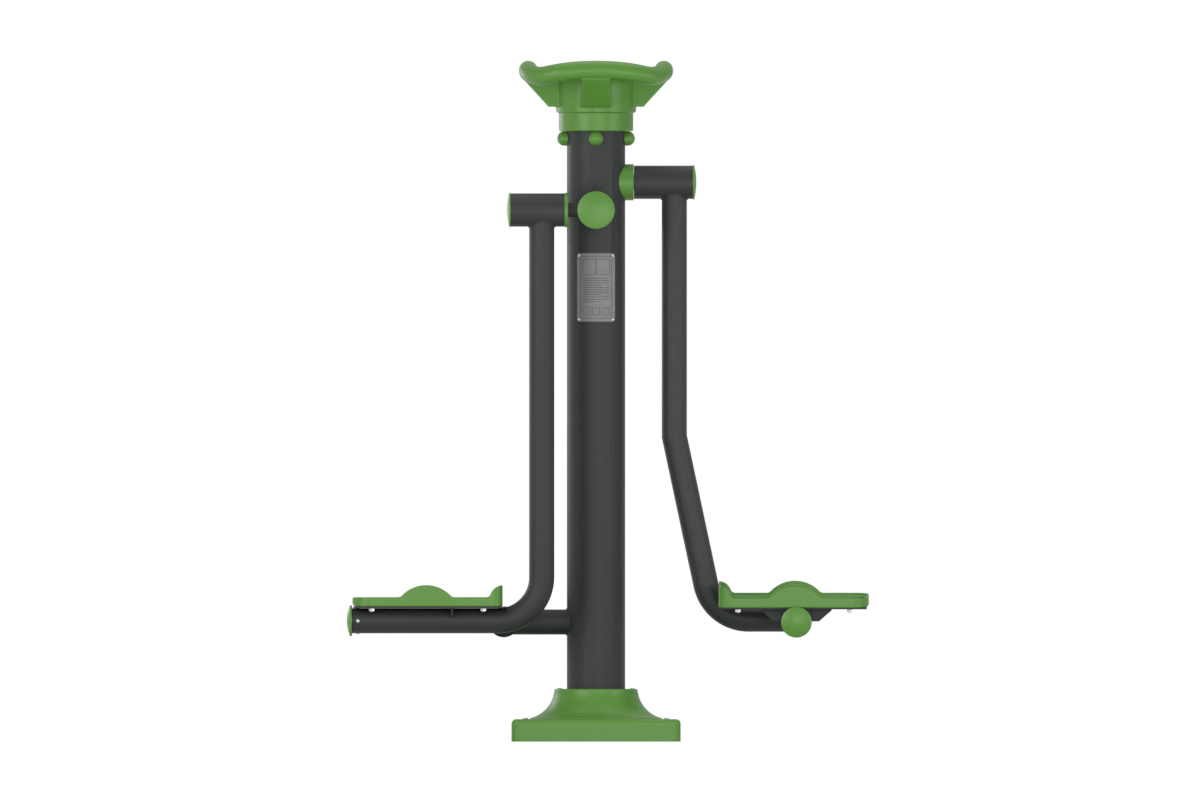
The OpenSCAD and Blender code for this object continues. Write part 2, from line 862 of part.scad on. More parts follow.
module wheel_fasteners() {
    spigot_inner_r = post_inner_r - spigot_gap - spigot_wall;
    nut_seat = sqrt(pow(spigot_inner_r, 2) - pow(bolt_af / 2 / cos(30), 2)) - seam;
    shank_end = nut_seat - bolt_nut_h - over;
    color(zinc)
        translate([0, 0, hub_z]) {
            spigot_screw_places(hub_grip)
                mirror([0, 0, 1])
                    button_screw(small_head_d, small_head_h, screw_d, flange_t + hub_ledge / 2);
            round_post(0, -bolt_drop) {
                translate([0, 0, shank_end])
                    cylinder(h = post_r + bolt_head_h / 2 - shank_end, d = bolt_d);
                translate([0, 0, post_r + seam]) hexagon(bolt_af, bolt_head_h);
                translate([0, 0, nut_seat - bolt_nut_h]) nut(bolt_af, bolt_nut_h, bolt_d);
            }
        }
}

module wheel_bolt_caps() {
    cap_r = bolt_cap_d / 2;
    color(green)
        translate([0, 0, hub_z])
            difference() {
                round_post(post_r, -bolt_drop)
                    difference() {
                        union() {
                            translate([0, 0, -bolt_cap_skirt / 2])
                                cylinder(h = bolt_cap_skirt * 3 / 2, r = cap_r);
                            translate([0, 0, bolt_cap_skirt]) dome(cap_r - seam, bolt_cap_dome);
                        }
                        translate([0, 0, -bolt_cap_skirt])
                            cylinder(h = 2 * bolt_cap_skirt, r = cap_r - bolt_cap_wall);
                    }
                translate([0, 0, -post_top / 2]) cylinder(h = post_top, r = post_r + seam);
            }
}

module rivet_places(radius) {
    reach_x = plate_w / 2 - rivet_inset;
    turn = asin(reach_x / (post_r + plate_t));
    for (sx = both_sides, sz = both_sides)
        rotate([0, 0, -90 + sx * turn])
            translate([radius, 0, plate_z + sz * (plate_h / 2 - rivet_inset)])
                rotate([0, 90, 0])
                    children();
}

module info_plate() {
    color(plate_grey)
        difference() {
            intersection() {
                translate([0, 0, plate_z - plate_h])
                    ring(post_r + seam + plate_t, post_r + seam, 2 * plate_h);
                translate([0, 0, plate_z])
                    rotate([90, 0, 0])
                        linear_extrude(post_d) rounded_rect(plate_w, plate_h, plate_corner_r);
            }
            rivet_places(post_inner_r) cylinder(h = post_wall + 2 * over, d = rivet_d + 2 * seat);
        }
}

module plate_rivets() {
    color(zinc)
        rivet_places(post_r + plate_t + 2 * seam)
            button_screw(rivet_head_d, rivet_head_h, rivet_d, post_wall + plate_t);
}

module cross_arm() {
    color(dark_coat)
        translate([0, 0, walker_pivot_z])
            difference() {
                rotate([90, 0, 0])
                    translate([0, 0, -arm_half]) ring(arm_d / 2, arm_d / 2 - arm_wall, 2 * arm_half);
                for (side = both_sides)
                    translate([-arm_d, side * walker_y, 0])
                        rotate([0, 90, 0])
                            cylinder(h = 2 * arm_d, r = axle_r + seat);
            }
}

module cross_arm_caps() {
    color(green)
        for (m = [0, 1])
            mirror([0, m, 0])
                translate([0, -arm_half, walker_pivot_z])
                    rotate([90, 0, 0])
                        push_cap(arm_cap_d, arm_cap_flange, arm_cap_dome,
                            arm_d / 2 - arm_wall - slip, axle_r / 2);
}

module swing_stub() {
    start = post_inner_r - 2 * post_wall;
    color(dark_coat)
        translate([start, 0, swing_pivot_z])
            rotate([0, 90, 0])
                ring(stub_d / 2, axle_r + seat, swing_inboard - run_gap - start);
}

module swing_collar() {
    start = post_r / 2;
    color(green)
        difference() {
            translate([start, 0, swing_pivot_z])
                rotate([0, 90, 0])
                    ring(stub_collar_d / 2, stub_d / 2 + slip, swing_inboard - run_gap - start);
            cylinder(h = post_top, r = post_r + seam);
        }
}

module stop_arm() {
    bar_half = buffer_reach - buffer_t;
    color(dark_coat)
        translate([0, 0, stop_z])
            difference() {
                union() {
                    translate([-stop_x, 0, 0]) rotate([0, 90, 0]) cylinder(h = stop_x, r = tube_r);
                    translate([-stop_x, bar_half, 0])
                        rotate([90, 0, 0])
                            cylinder(h = 2 * bar_half, r = tube_r);
                }
                translate([-stop_x + tube_r - tube_wall / 2, 0, 0])
                    rotate([0, 90, 0])
                        cylinder(h = stop_x, r = tube_r - tube_wall);
                translate([-stop_x, bar_half + over, 0])
                    rotate([90, 0, 0])
                        cylinder(h = 2 * (bar_half + over), r = tube_r - tube_wall);
                cylinder(h = post_d, r = post_r + seam, center = true);
            }
}

module stop_buffers() {
    color(rubber)
        for (m = [0, 1])
            mirror([0, m, 0])
                translate([-stop_x, -(buffer_reach - buffer_t), stop_z])
                    rotate([90, 0, 0]) {
                        cylinder(h = buffer_t - over, d = buffer_d);
                        cylinder(h = buffer_t, d = buffer_d - 2 * over);
                        translate([0, 0, -buffer_plug_l])
                            cylinder(h = buffer_plug_l, r = tube_r - tube_wall - slip);
                    }
}

// Pivots, drawn with the inboard end of the housing at the origin and +Z outboard

module at_walker_pivot(side) {
    translate([-walker_inboard, side * walker_y, walker_pivot_z])
        rotate([0, -90, 0])
            children();
}

module at_swing_pivot() {
    translate([swing_inboard, 0, swing_pivot_z])
        rotate([0, 90, 0])
            children();
}

module at_every_pivot() {
    at_walker_pivot(-1) pivot_turned(walker_housing_l, 1) children();
    at_walker_pivot(1) pivot_turned(walker_housing_l, 1) children();
    at_swing_pivot() pivot_turned(swing_housing_l, -1) children();
}

// Turns local +X to point up and hands the housing's length on as $length
module pivot_turned(length, up) {
    $length = length;
    rotate([0, 0, up > 0 ? 0 : 180]) children();
}

function second_bearing_z(length) = length - nut_room - bearing_w;

module axle(length, back) {
    end_z = length - nut_room;
    cylinder(h = end_z, r = axle_r);
    translate([0, 0, -back]) cylinder(h = back + bearing_inset, r = axle_r);
    translate([0, 0, bearing_inset - shoulder_t]) cylinder(h = shoulder_t, d = shoulder_d);
    translate([0, 0, end_z - over])
        cylinder(h = washer_t + lock_nut_h + 2 * over, d = thread_d);
}

module drilled_axle(length, back) {
    difference() {
        axle(length, back);
        pin_place(length)
            cylinder(h = spacer_d, d = pin_d + 2 * seat, center = true);
    }
}

module pin_place(length) {
    translate([0, 0, (bearing_inset + bearing_w + length / 2 - key_l / 2) / 2])
        rotate([90, 0, 0])
            children();
}

module front_axle() {
    color(steel)
        at_walker_pivot(-1)
            drilled_axle(walker_housing_l, walker_inboard + arm_d / 2 + over);
}

module rear_axle() {
    color(steel)
        at_walker_pivot(1)
            drilled_axle(walker_housing_l, walker_inboard + arm_d / 2 + over);
}

module swing_axle() {
    color(steel)
        at_swing_pivot()
            drilled_axle(swing_housing_l, swing_inboard - post_inner_r + 4 * post_wall);
}

module ball_groove(r) {
    translate([pitch_r, bearing_w / 2]) circle(r);
}

module inner_ring() {
    rotate_extrude()
        difference() {
            translate([axle_r + seat, 0])
                square([pitch_r - land_share * ball_d - axle_r - seat, bearing_w]);
            ball_groove(ball_r + slip);
        }
}

module outer_ring() {
    land_r = pitch_r + land_share * ball_d;
    rotate_extrude()
        difference() {
            translate([land_r, 0]) square([bearing_r - land_r, bearing_w]);
            ball_groove(ball_r + seat);
        }
    for (i = [0 : ball_count - 1])
        rotate([0, 0, 360 * i / ball_count])
            translate([pitch_r, 0, bearing_w / 2])
                sphere(ball_r);
}

module bearing_pair(length) {
    translate([0, 0, bearing_inset]) children();
    translate([0, 0, second_bearing_z(length)]) children();
}

module inner_bearing_rings() {
    color(steel)
        at_every_pivot() bearing_pair($length) inner_ring();
}

module spacer() {
    start = bearing_inset + bearing_w;
    difference() {
        union() {
            translate([0, 0, start])
                cylinder(h = second_bearing_z($length) - start, r = spacer_r);
            translate([0, -key_w / 2, ($length - key_l) / 2])
                cube([key_r, key_w, key_l]);
        }
        cylinder(h = $length, r = axle_r + seat);
        pin_place($length) cylinder(h = 2 * spacer_d, d = pin_d + 2 * seat, center = true);
    }
}

module pivot_spacers() {
    color(zinc)
        at_every_pivot() spacer();
}

module lock_nuts() {
    color(zinc)
        at_every_pivot() {
            translate([0, 0, $length - nut_room]) ring(washer_d / 2, thread_d / 2 + seat, washer_t);
            translate([0, 0, $length - nut_room + washer_t]) nut(lock_nut_af, lock_nut_h, thread_d);
            pin_place($length) cylinder(h = spacer_d, d = pin_d, center = true);
        }
}

module housing(length) {
    ring(housing_d / 2, housing_bore_r, length);
}

// Sector about +X of the given half angle
module sector(r, half_angle) {
    intersection() {
        circle(r);
        polygon([
            [0, 0],
            for (share = [-1, -0.5, 0, 0.5, 1])
                2 * r * [cos(share * half_angle), sin(share * half_angle)]
        ]);
    }
}

module stop_ring(length) {
    ring_l = key_l + over;
    window = swing_limit + asin(key_w / 2 / (spacer_r + run_gap)) + stop_margin;
    translate([0, 0, (length - ring_l) / 2])
        linear_extrude(ring_l)
            difference() {
                circle(bearing_r);
                circle(spacer_r + run_gap);
                sector(key_r + run_gap, window);
            }
}

module housing_cap() {
    push_cap(housing_cap_d, housing_cap_flange, housing_cap_dome, housing_bore_r - slip, nut_room / 2);
}

module seal_ring() {
    translate([0, 0, -seal_t]) ring(seal_d / 2, axle_r + run_gap, seal_t);
    ring(housing_bore_r - slip, housing_bore_r - slip - cap_plug_wall, bearing_inset / 2);
}

// Walker pendulum pieces, drawn for the front walker

module as_walker(side) {
    mirror([0, side > 0 ? 1 : 0, 0]) children();
}

module walker_tube() {
    down = walker_pivot_z - walker_foot_z - bend_r;
    color(dark_coat)
        difference() {
            translate([-walker_tube_x, -walker_y, walker_pivot_z])
                mirror([1, 0, 0])
                    mirror([0, 0, 1]) {
                        tube_leg(down);
                        translate([0, 0, down]) {
                            tube_bend(90);
                            after_bend(90)
                                tube_leg(walker_foot_end - walker_tube_x - bend_r);
                        }
                    }
            at_walker_pivot(-1) cylinder(h = walker_housing_l, r = housing_d / 2 + seam);
            walker_cap_screws() cylinder(h = tube_d, d = screw_d + 2 * seat, center = true);
        }
}

// Cap screws: front, rear and underneath, with local +Z outward from the tube
module tube_end_screws(radius) {
    for (a = [0, 90, 180])
        rotate([a, 0, 0])
            translate([0, 0, radius])
                children();
}

module walker_cap_screws() {
    translate([-walker_foot_end + cap_screw_inset, -walker_y, walker_foot_z])
        rotate([90, 0, 0])
            tube_end_screws(tube_r)
                children();
}

module plate_holes() {
    at_corners(pedal_bolt_l, pedal_bolt_w)
        cylinder(h = foot_plate_t + 2 * over, d = pedal_bolt_d + 2 * seam, center = true);
}

module foot_plate(length) {
    linear_extrude(foot_plate_t) rounded_rect(length, foot_plate_w, foot_plate_r);
}

module walker_foot_plate() {
    color(dark_coat)
        translate([0, -walker_y, plate_on_walker_z])
            difference() {
                union() {
                    translate([-walker_plate_x, 0, 0]) foot_plate(walker_plate_l);
                    translate([-walker_rib_x, 0, 0])
                        rotate([90, 0, 90])
                            linear_extrude(rib_t, center = true)
                                polygon([
                                    [-rib_top_w / 2, over / 2],
                                    [-rib_top_w / 2, -rib_edge_h],
                                    [-tube_r - seam, -rib_depth],
                                    [tube_r + seam, -rib_depth],
                                    [rib_top_w / 2, -rib_edge_h],
                                    [rib_top_w / 2, over / 2]
                                ]);
                }
                translate([-walker_foot_end, 0, -tube_r - seam])
                    rotate([0, 90, 0])
                        cylinder(h = walker_foot_end, r = tube_r + seam);
                translate([-walker_tube_x, 0, bend_r - tube_r - seam])
                    rotate([0, 180, 0])
                        bend_cut(90);
                translate([-walker_pedal_x, 0, 0]) plate_holes();
            }
}

// Pedal, toe toward +X, underside on z = 0, centre at the origin

module pedal_plan(inset) {
    half_l = pedal_l / 2 - inset;
    half_w = pedal_w / 2 - inset;
    heel_r = heel_corner_r - inset;
    toe_r = toe_corner_r - inset;
    translate([-half_l, -half_w + heel_r]) square([heel_r, 2 * (half_w - heel_r)]);
    translate([-half_l + heel_r, -half_w]) square([2 * half_l - heel_r - toe_r, 2 * half_w]);
    translate([half_l - toe_r, -half_w + toe_r]) square([toe_r, 2 * (half_w - toe_r)]);
    for (side = both_sides) {
        translate([-half_l + heel_r, side * (half_w - heel_r)]) circle(heel_r);
        translate([half_l - toe_r, side * (half_w - toe_r)]) circle(toe_r);
    }
}

// Web under the hollow curve between a round top centred at (x, z) and the rim
module sweep_web(x, z, top_r, toward) {
    foot = [
        x + toward * sqrt(pow(top_r + sweep_r, 2) - pow(pedal_rim_h + sweep_r - z, 2)),
        pedal_rim_h + sweep_r
    ];
    difference() {
        polygon([[x, z], [foot[0], min(z, 0)], foot]);
        translate(foot) circle(sweep_r - seam);
    }
}

module pedal_profile() {
    half_l = pedal_l / 2;
    hump_z = pedal_high - hump_r;
    toe_x = half_l + toe_arc_beyond;
    toe_z = pedal_high - toe_arc_r;
    difference() {
        intersection() {
            translate([-half_l, 0]) square([pedal_l, pedal_high + over]);
            union() {
                translate([-half_l, 0]) square([pedal_l, pedal_rim_h]);
                translate([-hump_offset, hump_z]) circle(hump_r);
                for (toward = both_sides) sweep_web(-hump_offset, hump_z, hump_r, toward);
                translate([toe_x, toe_z]) circle(toe_arc_r);
                sweep_web(toe_x, toe_z, toe_arc_r, -1);
            }
        }
        mirror([1, 0]) corner_sliver(half_l, pedal_rim_h, heel_top_r);
        mirror([1, 0]) mirror([0, 1]) corner_sliver(half_l, 0, heel_under_r);
    }
}

module pedal() {
    color(green)
        difference() {
            union() {
                difference() {
                    intersection() {
                        linear_extrude(pedal_high + over) pedal_plan(0);
                        rotate([90, 0, 0])
                            linear_extrude(pedal_w + over, center = true) pedal_profile();
                    }
                    translate([0, 0, pedal_floor])
                        linear_extrude(pedal_high) pedal_plan(pedal_wall);
                }
                for (i = [0 : tread_count - 1])
                    translate([(i - (tread_count - 1) / 2) * tread_pitch - tread_w / 2,
                        -tread_l / 2, pedal_floor - over / 2])
                        cube([tread_w, tread_l, tread_h + over / 2]);
            }
            at_corners(pedal_bolt_l, pedal_bolt_w)
                translate([0, 0, -over])
                    cylinder(h = pedal_floor + 2 * over, d = pedal_bolt_d + 2 * seam);
        }
}

module pedal_fasteners() {
    below = foot_plate_t + pedal_nut_h + thread_tail;
    at_corners(pedal_bolt_l, pedal_bolt_w) {
        translate([0, 0, pedal_floor])
            button_screw(pedal_head_d, pedal_head_h, pedal_bolt_d, pedal_floor + below);
        translate([0, 0, -foot_plate_t - pedal_nut_h]) nut(pedal_nut_af, pedal_nut_h, pedal_bolt_d);
    }
}

module at_walker_pedal() {
    translate([-walker_pedal_x, -walker_y, plate_on_walker_z + foot_plate_t])
        children();
}

module tube_cap() {
    plug_r = tube_r - tube_wall - slip;
    window = screw_d + 2 * seat;
    difference() {
        rotate([0, 0, 45])
            push_cap(tube_cap_d, tube_cap_flange, tube_cap_dome, plug_r, cap_plug_l);
        for (a = [0, 90, 180])
            rotate([0, 0, a])
                translate([0, -window / 2, -cap_screw_inset - window / 2])
                    cube([tube_r, window, window]);
    }
}

module walker_foot_cap() {
    color(green)
        translate([-walker_foot_end, -walker_y, walker_foot_z])
            rotate([0, -90, 0])
                rotate([0, 0, 90])
                    tube_cap();
}

module cap_screw() {
    button_screw(cap_screw_head_d, cap_screw_head_h, screw_d, tube_wall + slip + cap_plug_wall);
}

module walker_fasteners() {
    color(zinc) {
        at_walker_pedal() pedal_fasteners();
        walker_cap_screws() cap_screw();
    }
}

module walker_housing() {
    color(dark_coat) at_walker_pivot(-1) housing(walker_housing_l);
}

module walker_bearings() {
    color(steel) at_walker_pivot(-1) bearing_pair(walker_housing_l) outer_ring();
}

module walker_stop_ring() {
    color(steel) at_walker_pivot(-1) stop_ring(walker_housing_l);
}

module walker_housing_cap() {
    color(green) at_walker_pivot(-1) translate([0, 0, walker_housing_l]) housing_cap();
}

module walker_seal_ring() {
    color(green) at_walker_pivot(-1) seal_ring();
}

module front_housing() { as_walker(-1) walker_housing(); }
module front_bearings() { as_walker(-1) walker_bearings(); }
module front_stop_ring() { as_walker(-1) walker_stop_ring(); }
module front_housing_cap() { as_walker(-1) walker_housing_cap(); }
module front_seal_ring() { as_walker(-1) walker_seal_ring(); }
module front_tube() { as_walker(-1) walker_tube(); }
module front_foot_plate() { as_walker(-1) walker_foot_plate(); }
module front_pedal() { as_walker(-1) at_walker_pedal() pedal(); }
module front_foot_cap() { as_walker(-1) walker_foot_cap(); }
module front_fasteners() { as_walker(-1) walker_fasteners(); }
module rear_housing() { as_walker(1) walker_housing(); }
module rear_bearings() { as_walker(1) walker_bearings(); }
module rear_stop_ring() { as_walker(1) walker_stop_ring(); }
module rear_housing_cap() { as_walker(1) walker_housing_cap(); }
module rear_seal_ring() { as_walker(1) walker_seal_ring(); }
module rear_tube() { as_walker(1) walker_tube(); }
module rear_foot_plate() { as_walker(1) walker_foot_plate(); }
module rear_pedal() { as_walker(1) at_walker_pedal() pedal(); }
module rear_foot_cap() { as_walker(1) walker_foot_cap(); }
module rear_fasteners() { as_walker(1) walker_fasteners(); }

// Side swing pendulum, drawn upright and then leaned to its rest angle

module leaned() {
    translate([0, 0, swing_pivot_z])
        rotate([rest_lean, 0, 0])
            translate([0, 0, -swing_pivot_z])
                children();
}

module at_swing_side(side) {
    translate([swing_pedal_x, side * swing_pedal_y, plate_on_swing_z])
        children();
}

module swing_housing() {
    color(dark_coat) leaned() at_swing_pivot() housing(swing_housing_l);
}

module swing_bearings() {
    color(steel) leaned() at_swing_pivot() bearing_pair(swing_housing_l) outer_ring();
}

module swing_stop_ring() {
    color(steel) leaned() at_swing_pivot() rotate([0, 0, 180]) stop_ring(swing_housing_l);
}

module swing_housing_cap() {
    color(green) leaned() at_swing_pivot() translate([0, 0, swing_housing_l]) housing_cap();
}

// Places the swing's hanging parts: origin on the pivot axis, +Z down, the kink toward +X
module hanging() {
    translate([swing_tube_x, 0, swing_pivot_z])
        mirror([0, 0, 1])
            children();
}

// Everything above the mitre plane of the kink, or everything below it
module mitre_half(below) {
    reach = swing_pivot_z;
    translate([0, 0, swing_pivot_z - kink_z])
        rotate([0, kink_angle / 2, 0])
            translate([-reach / 2, -reach / 2, below ? 0 : -reach])
                cube(reach);
}

// Upright tube with a mitred kink, down to the elbow
module swing_tube() {
    drop = swing_pivot_z - kink_z;
    color(dark_coat)
        leaned()
            difference() {
                hanging() {
                    intersection() {
                        tube_leg(drop + tube_r);
                        mitre_half(false);
                    }
                    intersection() {
                        translate([0, 0, drop])
                            rotate([0, kink_angle, 0])
                                translate([0, 0, -tube_r]) tube_leg(tube_r + slope_l - butt_gap);
                        mitre_half(true);
                    }
                }
                at_swing_pivot() cylinder(h = swing_housing_l, r = housing_d / 2 + seam);
            }
}

// Elbow below the slope, with the level foot tube as far as the cross tube
module swing_elbow() {
    bend_end_x = swing_tube_x + slope_foot_x + bend_tangent;
    color(dark_coat)
        leaned()
            difference() {
                translate([bend_end_x, 0, swing_foot_z])
                    rotate([0, 90, 0]) {
                        tube_leg(cross_tube_x - bend_end_x);
                        mirror([0, 0, 1]) mirror([1, 0, 0]) tube_bend(90 - kink_angle);
                    }
                translate([cross_tube_x, 0, swing_foot_z])
                    rotate([90, 0, 0])
                        cylinder(h = cross_tube_half, r = tube_r + seam, center = true);
            }
}

module swing_cross_tube() {
    color(dark_coat)
        leaned()
            difference() {
                translate([cross_tube_x, cross_tube_half, swing_foot_z])
                    rotate([90, 0, 0])
                        tube_leg(2 * cross_tube_half);
                swing_cap_screws() cylinder(h = tube_d, d = screw_d + 2 * seat, center = true);
            }
}

module swing_foot_plates() {
    color(dark_coat)
        leaned()
            for (side = both_sides)
                difference() {
                    at_swing_side(side) {
                        foot_plate(swing_plate_l);
                        for (wing = both_sides)
                            translate([cross_tube_x - swing_pedal_x, wing * pedal_bolt_w / 3, 0])
                                rotate([90, 0, 0])
                                    linear_extrude(rib_t, center = true)
                                        polygon([
                                            [-wing_top_l / 2, over / 2],
                                            [-wing_top_l / 2, -rib_edge_h],
                                            [-wing_low_l / 2, -tube_r],
                                            [wing_low_l / 2, -tube_r],
                                            [wing_top_l / 2, -rib_edge_h],
                                            [wing_top_l / 2, over / 2]
                                        ]);
                    }
                    translate([cross_tube_x, 0, swing_foot_z])
                        rotate([90, 0, 0])
                            cylinder(h = 3 * cross_tube_half, r = tube_r + seam, center = true);
                    at_swing_side(side) plate_holes();
                }
}

module swing_pedal(side) {
    leaned()
        at_swing_side(side)
            translate([0, 0, foot_plate_t])
                rotate([0, 0, 180])
                    pedal();
}

module swing_front_pedal() { swing_pedal(-1); }
module swing_rear_pedal() { swing_pedal(1); }

module swing_cap_screws() {
    for (m = [0, 1])
        mirror([0, m, 0])
            translate([cross_tube_x, -cross_tube_half + cap_screw_inset, swing_foot_z])
                rotate([0, 90, 0])
                    tube_end_screws_y()
                        children();
}

// The same three places for a tube along Y
module tube_end_screws_y() {
    for (a = [0, 90, 180])
        rotate([0, a, 0])
            translate([0, 0, tube_r])
                children();
}

module swing_tube_caps() {
    color(green)
        leaned()
            for (m = [0, 1])
                mirror([0, m, 0])
                    translate([cross_tube_x, -cross_tube_half, swing_foot_z])
                        rotate([90, 0, 0])
                            rotate([0, 0, 180])
                                tube_cap();
}

module swing_fasteners() {
    color(zinc)
        leaned() {
            for (side = both_sides)
                at_swing_side(side) translate([0, 0, foot_plate_t]) pedal_fasteners();
            swing_cap_screws() cap_screw();
        }
}

post();
base_plate();
base_gussets();
front_base_cover();
rear_base_cover();
cover_screws();
hand_wheel();
wheel_spigot();
wheel_fasteners();
wheel_bolt_caps();
info_plate();
plate_rivets();
cross_arm();
cross_arm_caps();
swing_stub();
swing_collar();
stop_arm();
stop_buffers();
front_axle();
rear_axle();
swing_axle();
inner_bearing_rings();
pivot_spacers();
lock_nuts();
front_housing();
front_bearings();
front_stop_ring();
front_housing_cap();
front_seal_ring();
front_tube();
front_foot_plate();
front_pedal();
front_foot_cap();
front_fasteners();
rear_housing();
rear_bearings();
rear_stop_ring();
rear_housing_cap();
rear_seal_ring();
rear_tube();
rear_foot_plate();
rear_pedal();
rear_foot_cap();
rear_fasteners();
swing_housing();
swing_bearings();
swing_stop_ring();
swing_housing_cap();
swing_tube();
swing_elbow();
swing_cross_tube();
swing_foot_plates();
swing_front_pedal();
swing_rear_pedal();
swing_tube_caps();
swing_fasteners();
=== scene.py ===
# %% [markdown]
# # Outdoor air walker and side swing
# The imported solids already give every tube, pivot and plate at its real place, so this
# script dresses them: it keeps each solid whose shape is right, builds the moulded and
# screwed parts again with their real edges, and gives every surface a finish.
# Everything is in metres, with the post's axis at x = y = 0 and the ground at z = 0.

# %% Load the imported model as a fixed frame
import json
import math

import bmesh
import bpy
from mathutils import Matrix, Vector


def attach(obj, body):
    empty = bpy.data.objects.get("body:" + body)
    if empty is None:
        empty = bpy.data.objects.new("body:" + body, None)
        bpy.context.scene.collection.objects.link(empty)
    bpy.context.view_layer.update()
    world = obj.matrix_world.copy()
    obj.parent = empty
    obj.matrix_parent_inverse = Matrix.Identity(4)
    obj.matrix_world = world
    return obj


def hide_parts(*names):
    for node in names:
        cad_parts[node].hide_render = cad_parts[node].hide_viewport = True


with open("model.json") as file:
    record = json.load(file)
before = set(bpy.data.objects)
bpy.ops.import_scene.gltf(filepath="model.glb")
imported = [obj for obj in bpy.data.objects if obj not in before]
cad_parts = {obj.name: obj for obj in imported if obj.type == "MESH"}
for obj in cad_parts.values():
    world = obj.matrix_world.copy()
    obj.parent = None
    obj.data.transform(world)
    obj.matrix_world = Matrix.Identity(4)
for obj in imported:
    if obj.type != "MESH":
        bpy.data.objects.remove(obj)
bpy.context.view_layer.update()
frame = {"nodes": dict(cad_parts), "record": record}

mm = 0.001
nodes = frame["nodes"]

# %% [markdown]
# ## Camera
# The photograph is a flat front view with no vanishing point: the tops and undersides of
# all the pieces are edge-on. A long lens from far away would come close, but an
# orthographic camera gives just that. One pixel is 2.4 mm, so a picture 1200 pixels wide
# spans 2.88 m.

# %% Orthographic camera, square to the front
millimetres_per_pixel = 2.4
picture_wide, picture_high = 1200, 800
post_axis_pixel, ground_pixel = 596.05, 741.6
camera_distance = 6.0
camera_data = bpy.data.cameras.new("front_camera")
camera_data.type = "ORTHO"
camera_data.ortho_scale = picture_wide * millimetres_per_pixel * mm
camera = bpy.data.objects.new("front_camera", camera_data)
camera.location = (
    (picture_wide / 2 - post_axis_pixel) * millimetres_per_pixel * mm,
    -camera_distance,
    (ground_pixel - picture_high / 2) * millimetres_per_pixel * mm,
)
camera.rotation_euler = (math.radians(90), 0, 0)
bpy.context.scene.collection.objects.link(camera)
bpy.context.scene.camera = camera
print("camera at", [round(v, 4) for v in camera.location])

# %% [markdown]
# ## Wiring nodes
# A finish in Blender is a graph of nodes, and the same few kinds come again and again: a
# sum or product, a mix of two colours, a noise. Each could be made and linked by hand
# wherever it is needed. A helper for each kind makes the graphs below read like formulas:
# it takes plain values or the outputs of other nodes, and returns its own output.

# %% Helpers: give a socket its value; add coordinates, a sum, a noise or a mix of colours
def give(tree, value, socket):
    """Set a socket to a number or an (r, g, b) colour, or link another node's output to it."""
    if isinstance(value, tuple):
        socket.default_value = (*value, 1)
    elif isinstance(value, (int, float)):
        socket.default_value = value
    else:
        tree.links.new(value, socket)


def own_place(tree):
    """Coordinates of the object itself, so that a pattern moves with its piece."""
    return tree.nodes.new("ShaderNodeTexCoord").outputs["Object"]


def add_math(tree, operation, a, b=None, c=None):
    node = tree.nodes.new("ShaderNodeMath")
    node.operation = operation
    for socket, value in zip(node.inputs, (a, b, c)):
        if value is not None:
            give(tree, value, socket)
    return node.outputs[0]


def add_noise(tree, vector, scale, detail, roughness=0.5):
    node = tree.nodes.new("ShaderNodeTexNoise")
    tree.links.new(vector, node.inputs["Vector"])
    give(tree, scale, node.inputs["Scale"])
    node.inputs["Detail"].default_value = detail
    node.inputs["Roughness"].default_value = roughness
    return node.outputs["Fac"]


def add_mix(tree, factor, a, b):
    node = tree.nodes.new("ShaderNodeMix")
    node.data_type = "RGBA"
    for socket, value in ((node.inputs[0], factor), (node.inputs[6], a), (node.inputs[7], b)):
        give(tree, value, socket)
    return node.outputs[2]


print("node helpers ready")

# %% [markdown]
# ## Floor
# The object stands on a plain pale floor in a white studio. A curved backdrop would hide
# the floor's edge from the front, but it would show from every other side. So the floor is
# flat, and fades to white with its distance from the post. Near the post it stays grey
# enough to show shadows. A floor as pale as it looks would also light the undersides of the
# pedals too much, so it throws back less light than it shows.

# %% Floor, an 18 m square just under the base
floor_half, floor_drop = 9.0, 0.0005
floor_mesh = bpy.data.meshes.new("studio_floor")
floor_mesh.from_pydata(
    [(-floor_half, -floor_half, 0), (floor_half, -floor_half, 0),
     (floor_half, floor_half, 0), (-floor_half, floor_half, 0)],
    [], [(0, 1, 2, 3)])
floor = bpy.data.objects.new("studio_floor", floor_mesh)
floor.location.z = -floor_drop
bpy.context.scene.collection.objects.link(floor)
print("floor:", 2 * floor_half, "m square")

# %% Pale where it is looked at or mirrored, darker for the light it throws back
looked_at, throws_back = (0.86, 0.86, 0.85), (0.38, 0.38, 0.38)
pale_floor = bpy.data.materials.new("pale_floor")
pale_floor.use_nodes = True
floor_mesh.materials.append(pale_floor)
tree = pale_floor.node_tree
floor_shader = tree.nodes["Principled BSDF"]
floor_shader.inputs["Roughness"].default_value = 0.6
light_path = tree.nodes.new("ShaderNodeLightPath").outputs
seen = add_math(tree, "MAXIMUM", light_path["Is Camera Ray"], light_path["Is Glossy Ray"])
give(tree, add_mix(tree, seen, throws_back, looked_at), floor_shader.inputs["Base Color"])
print("material:", pale_floor.name)

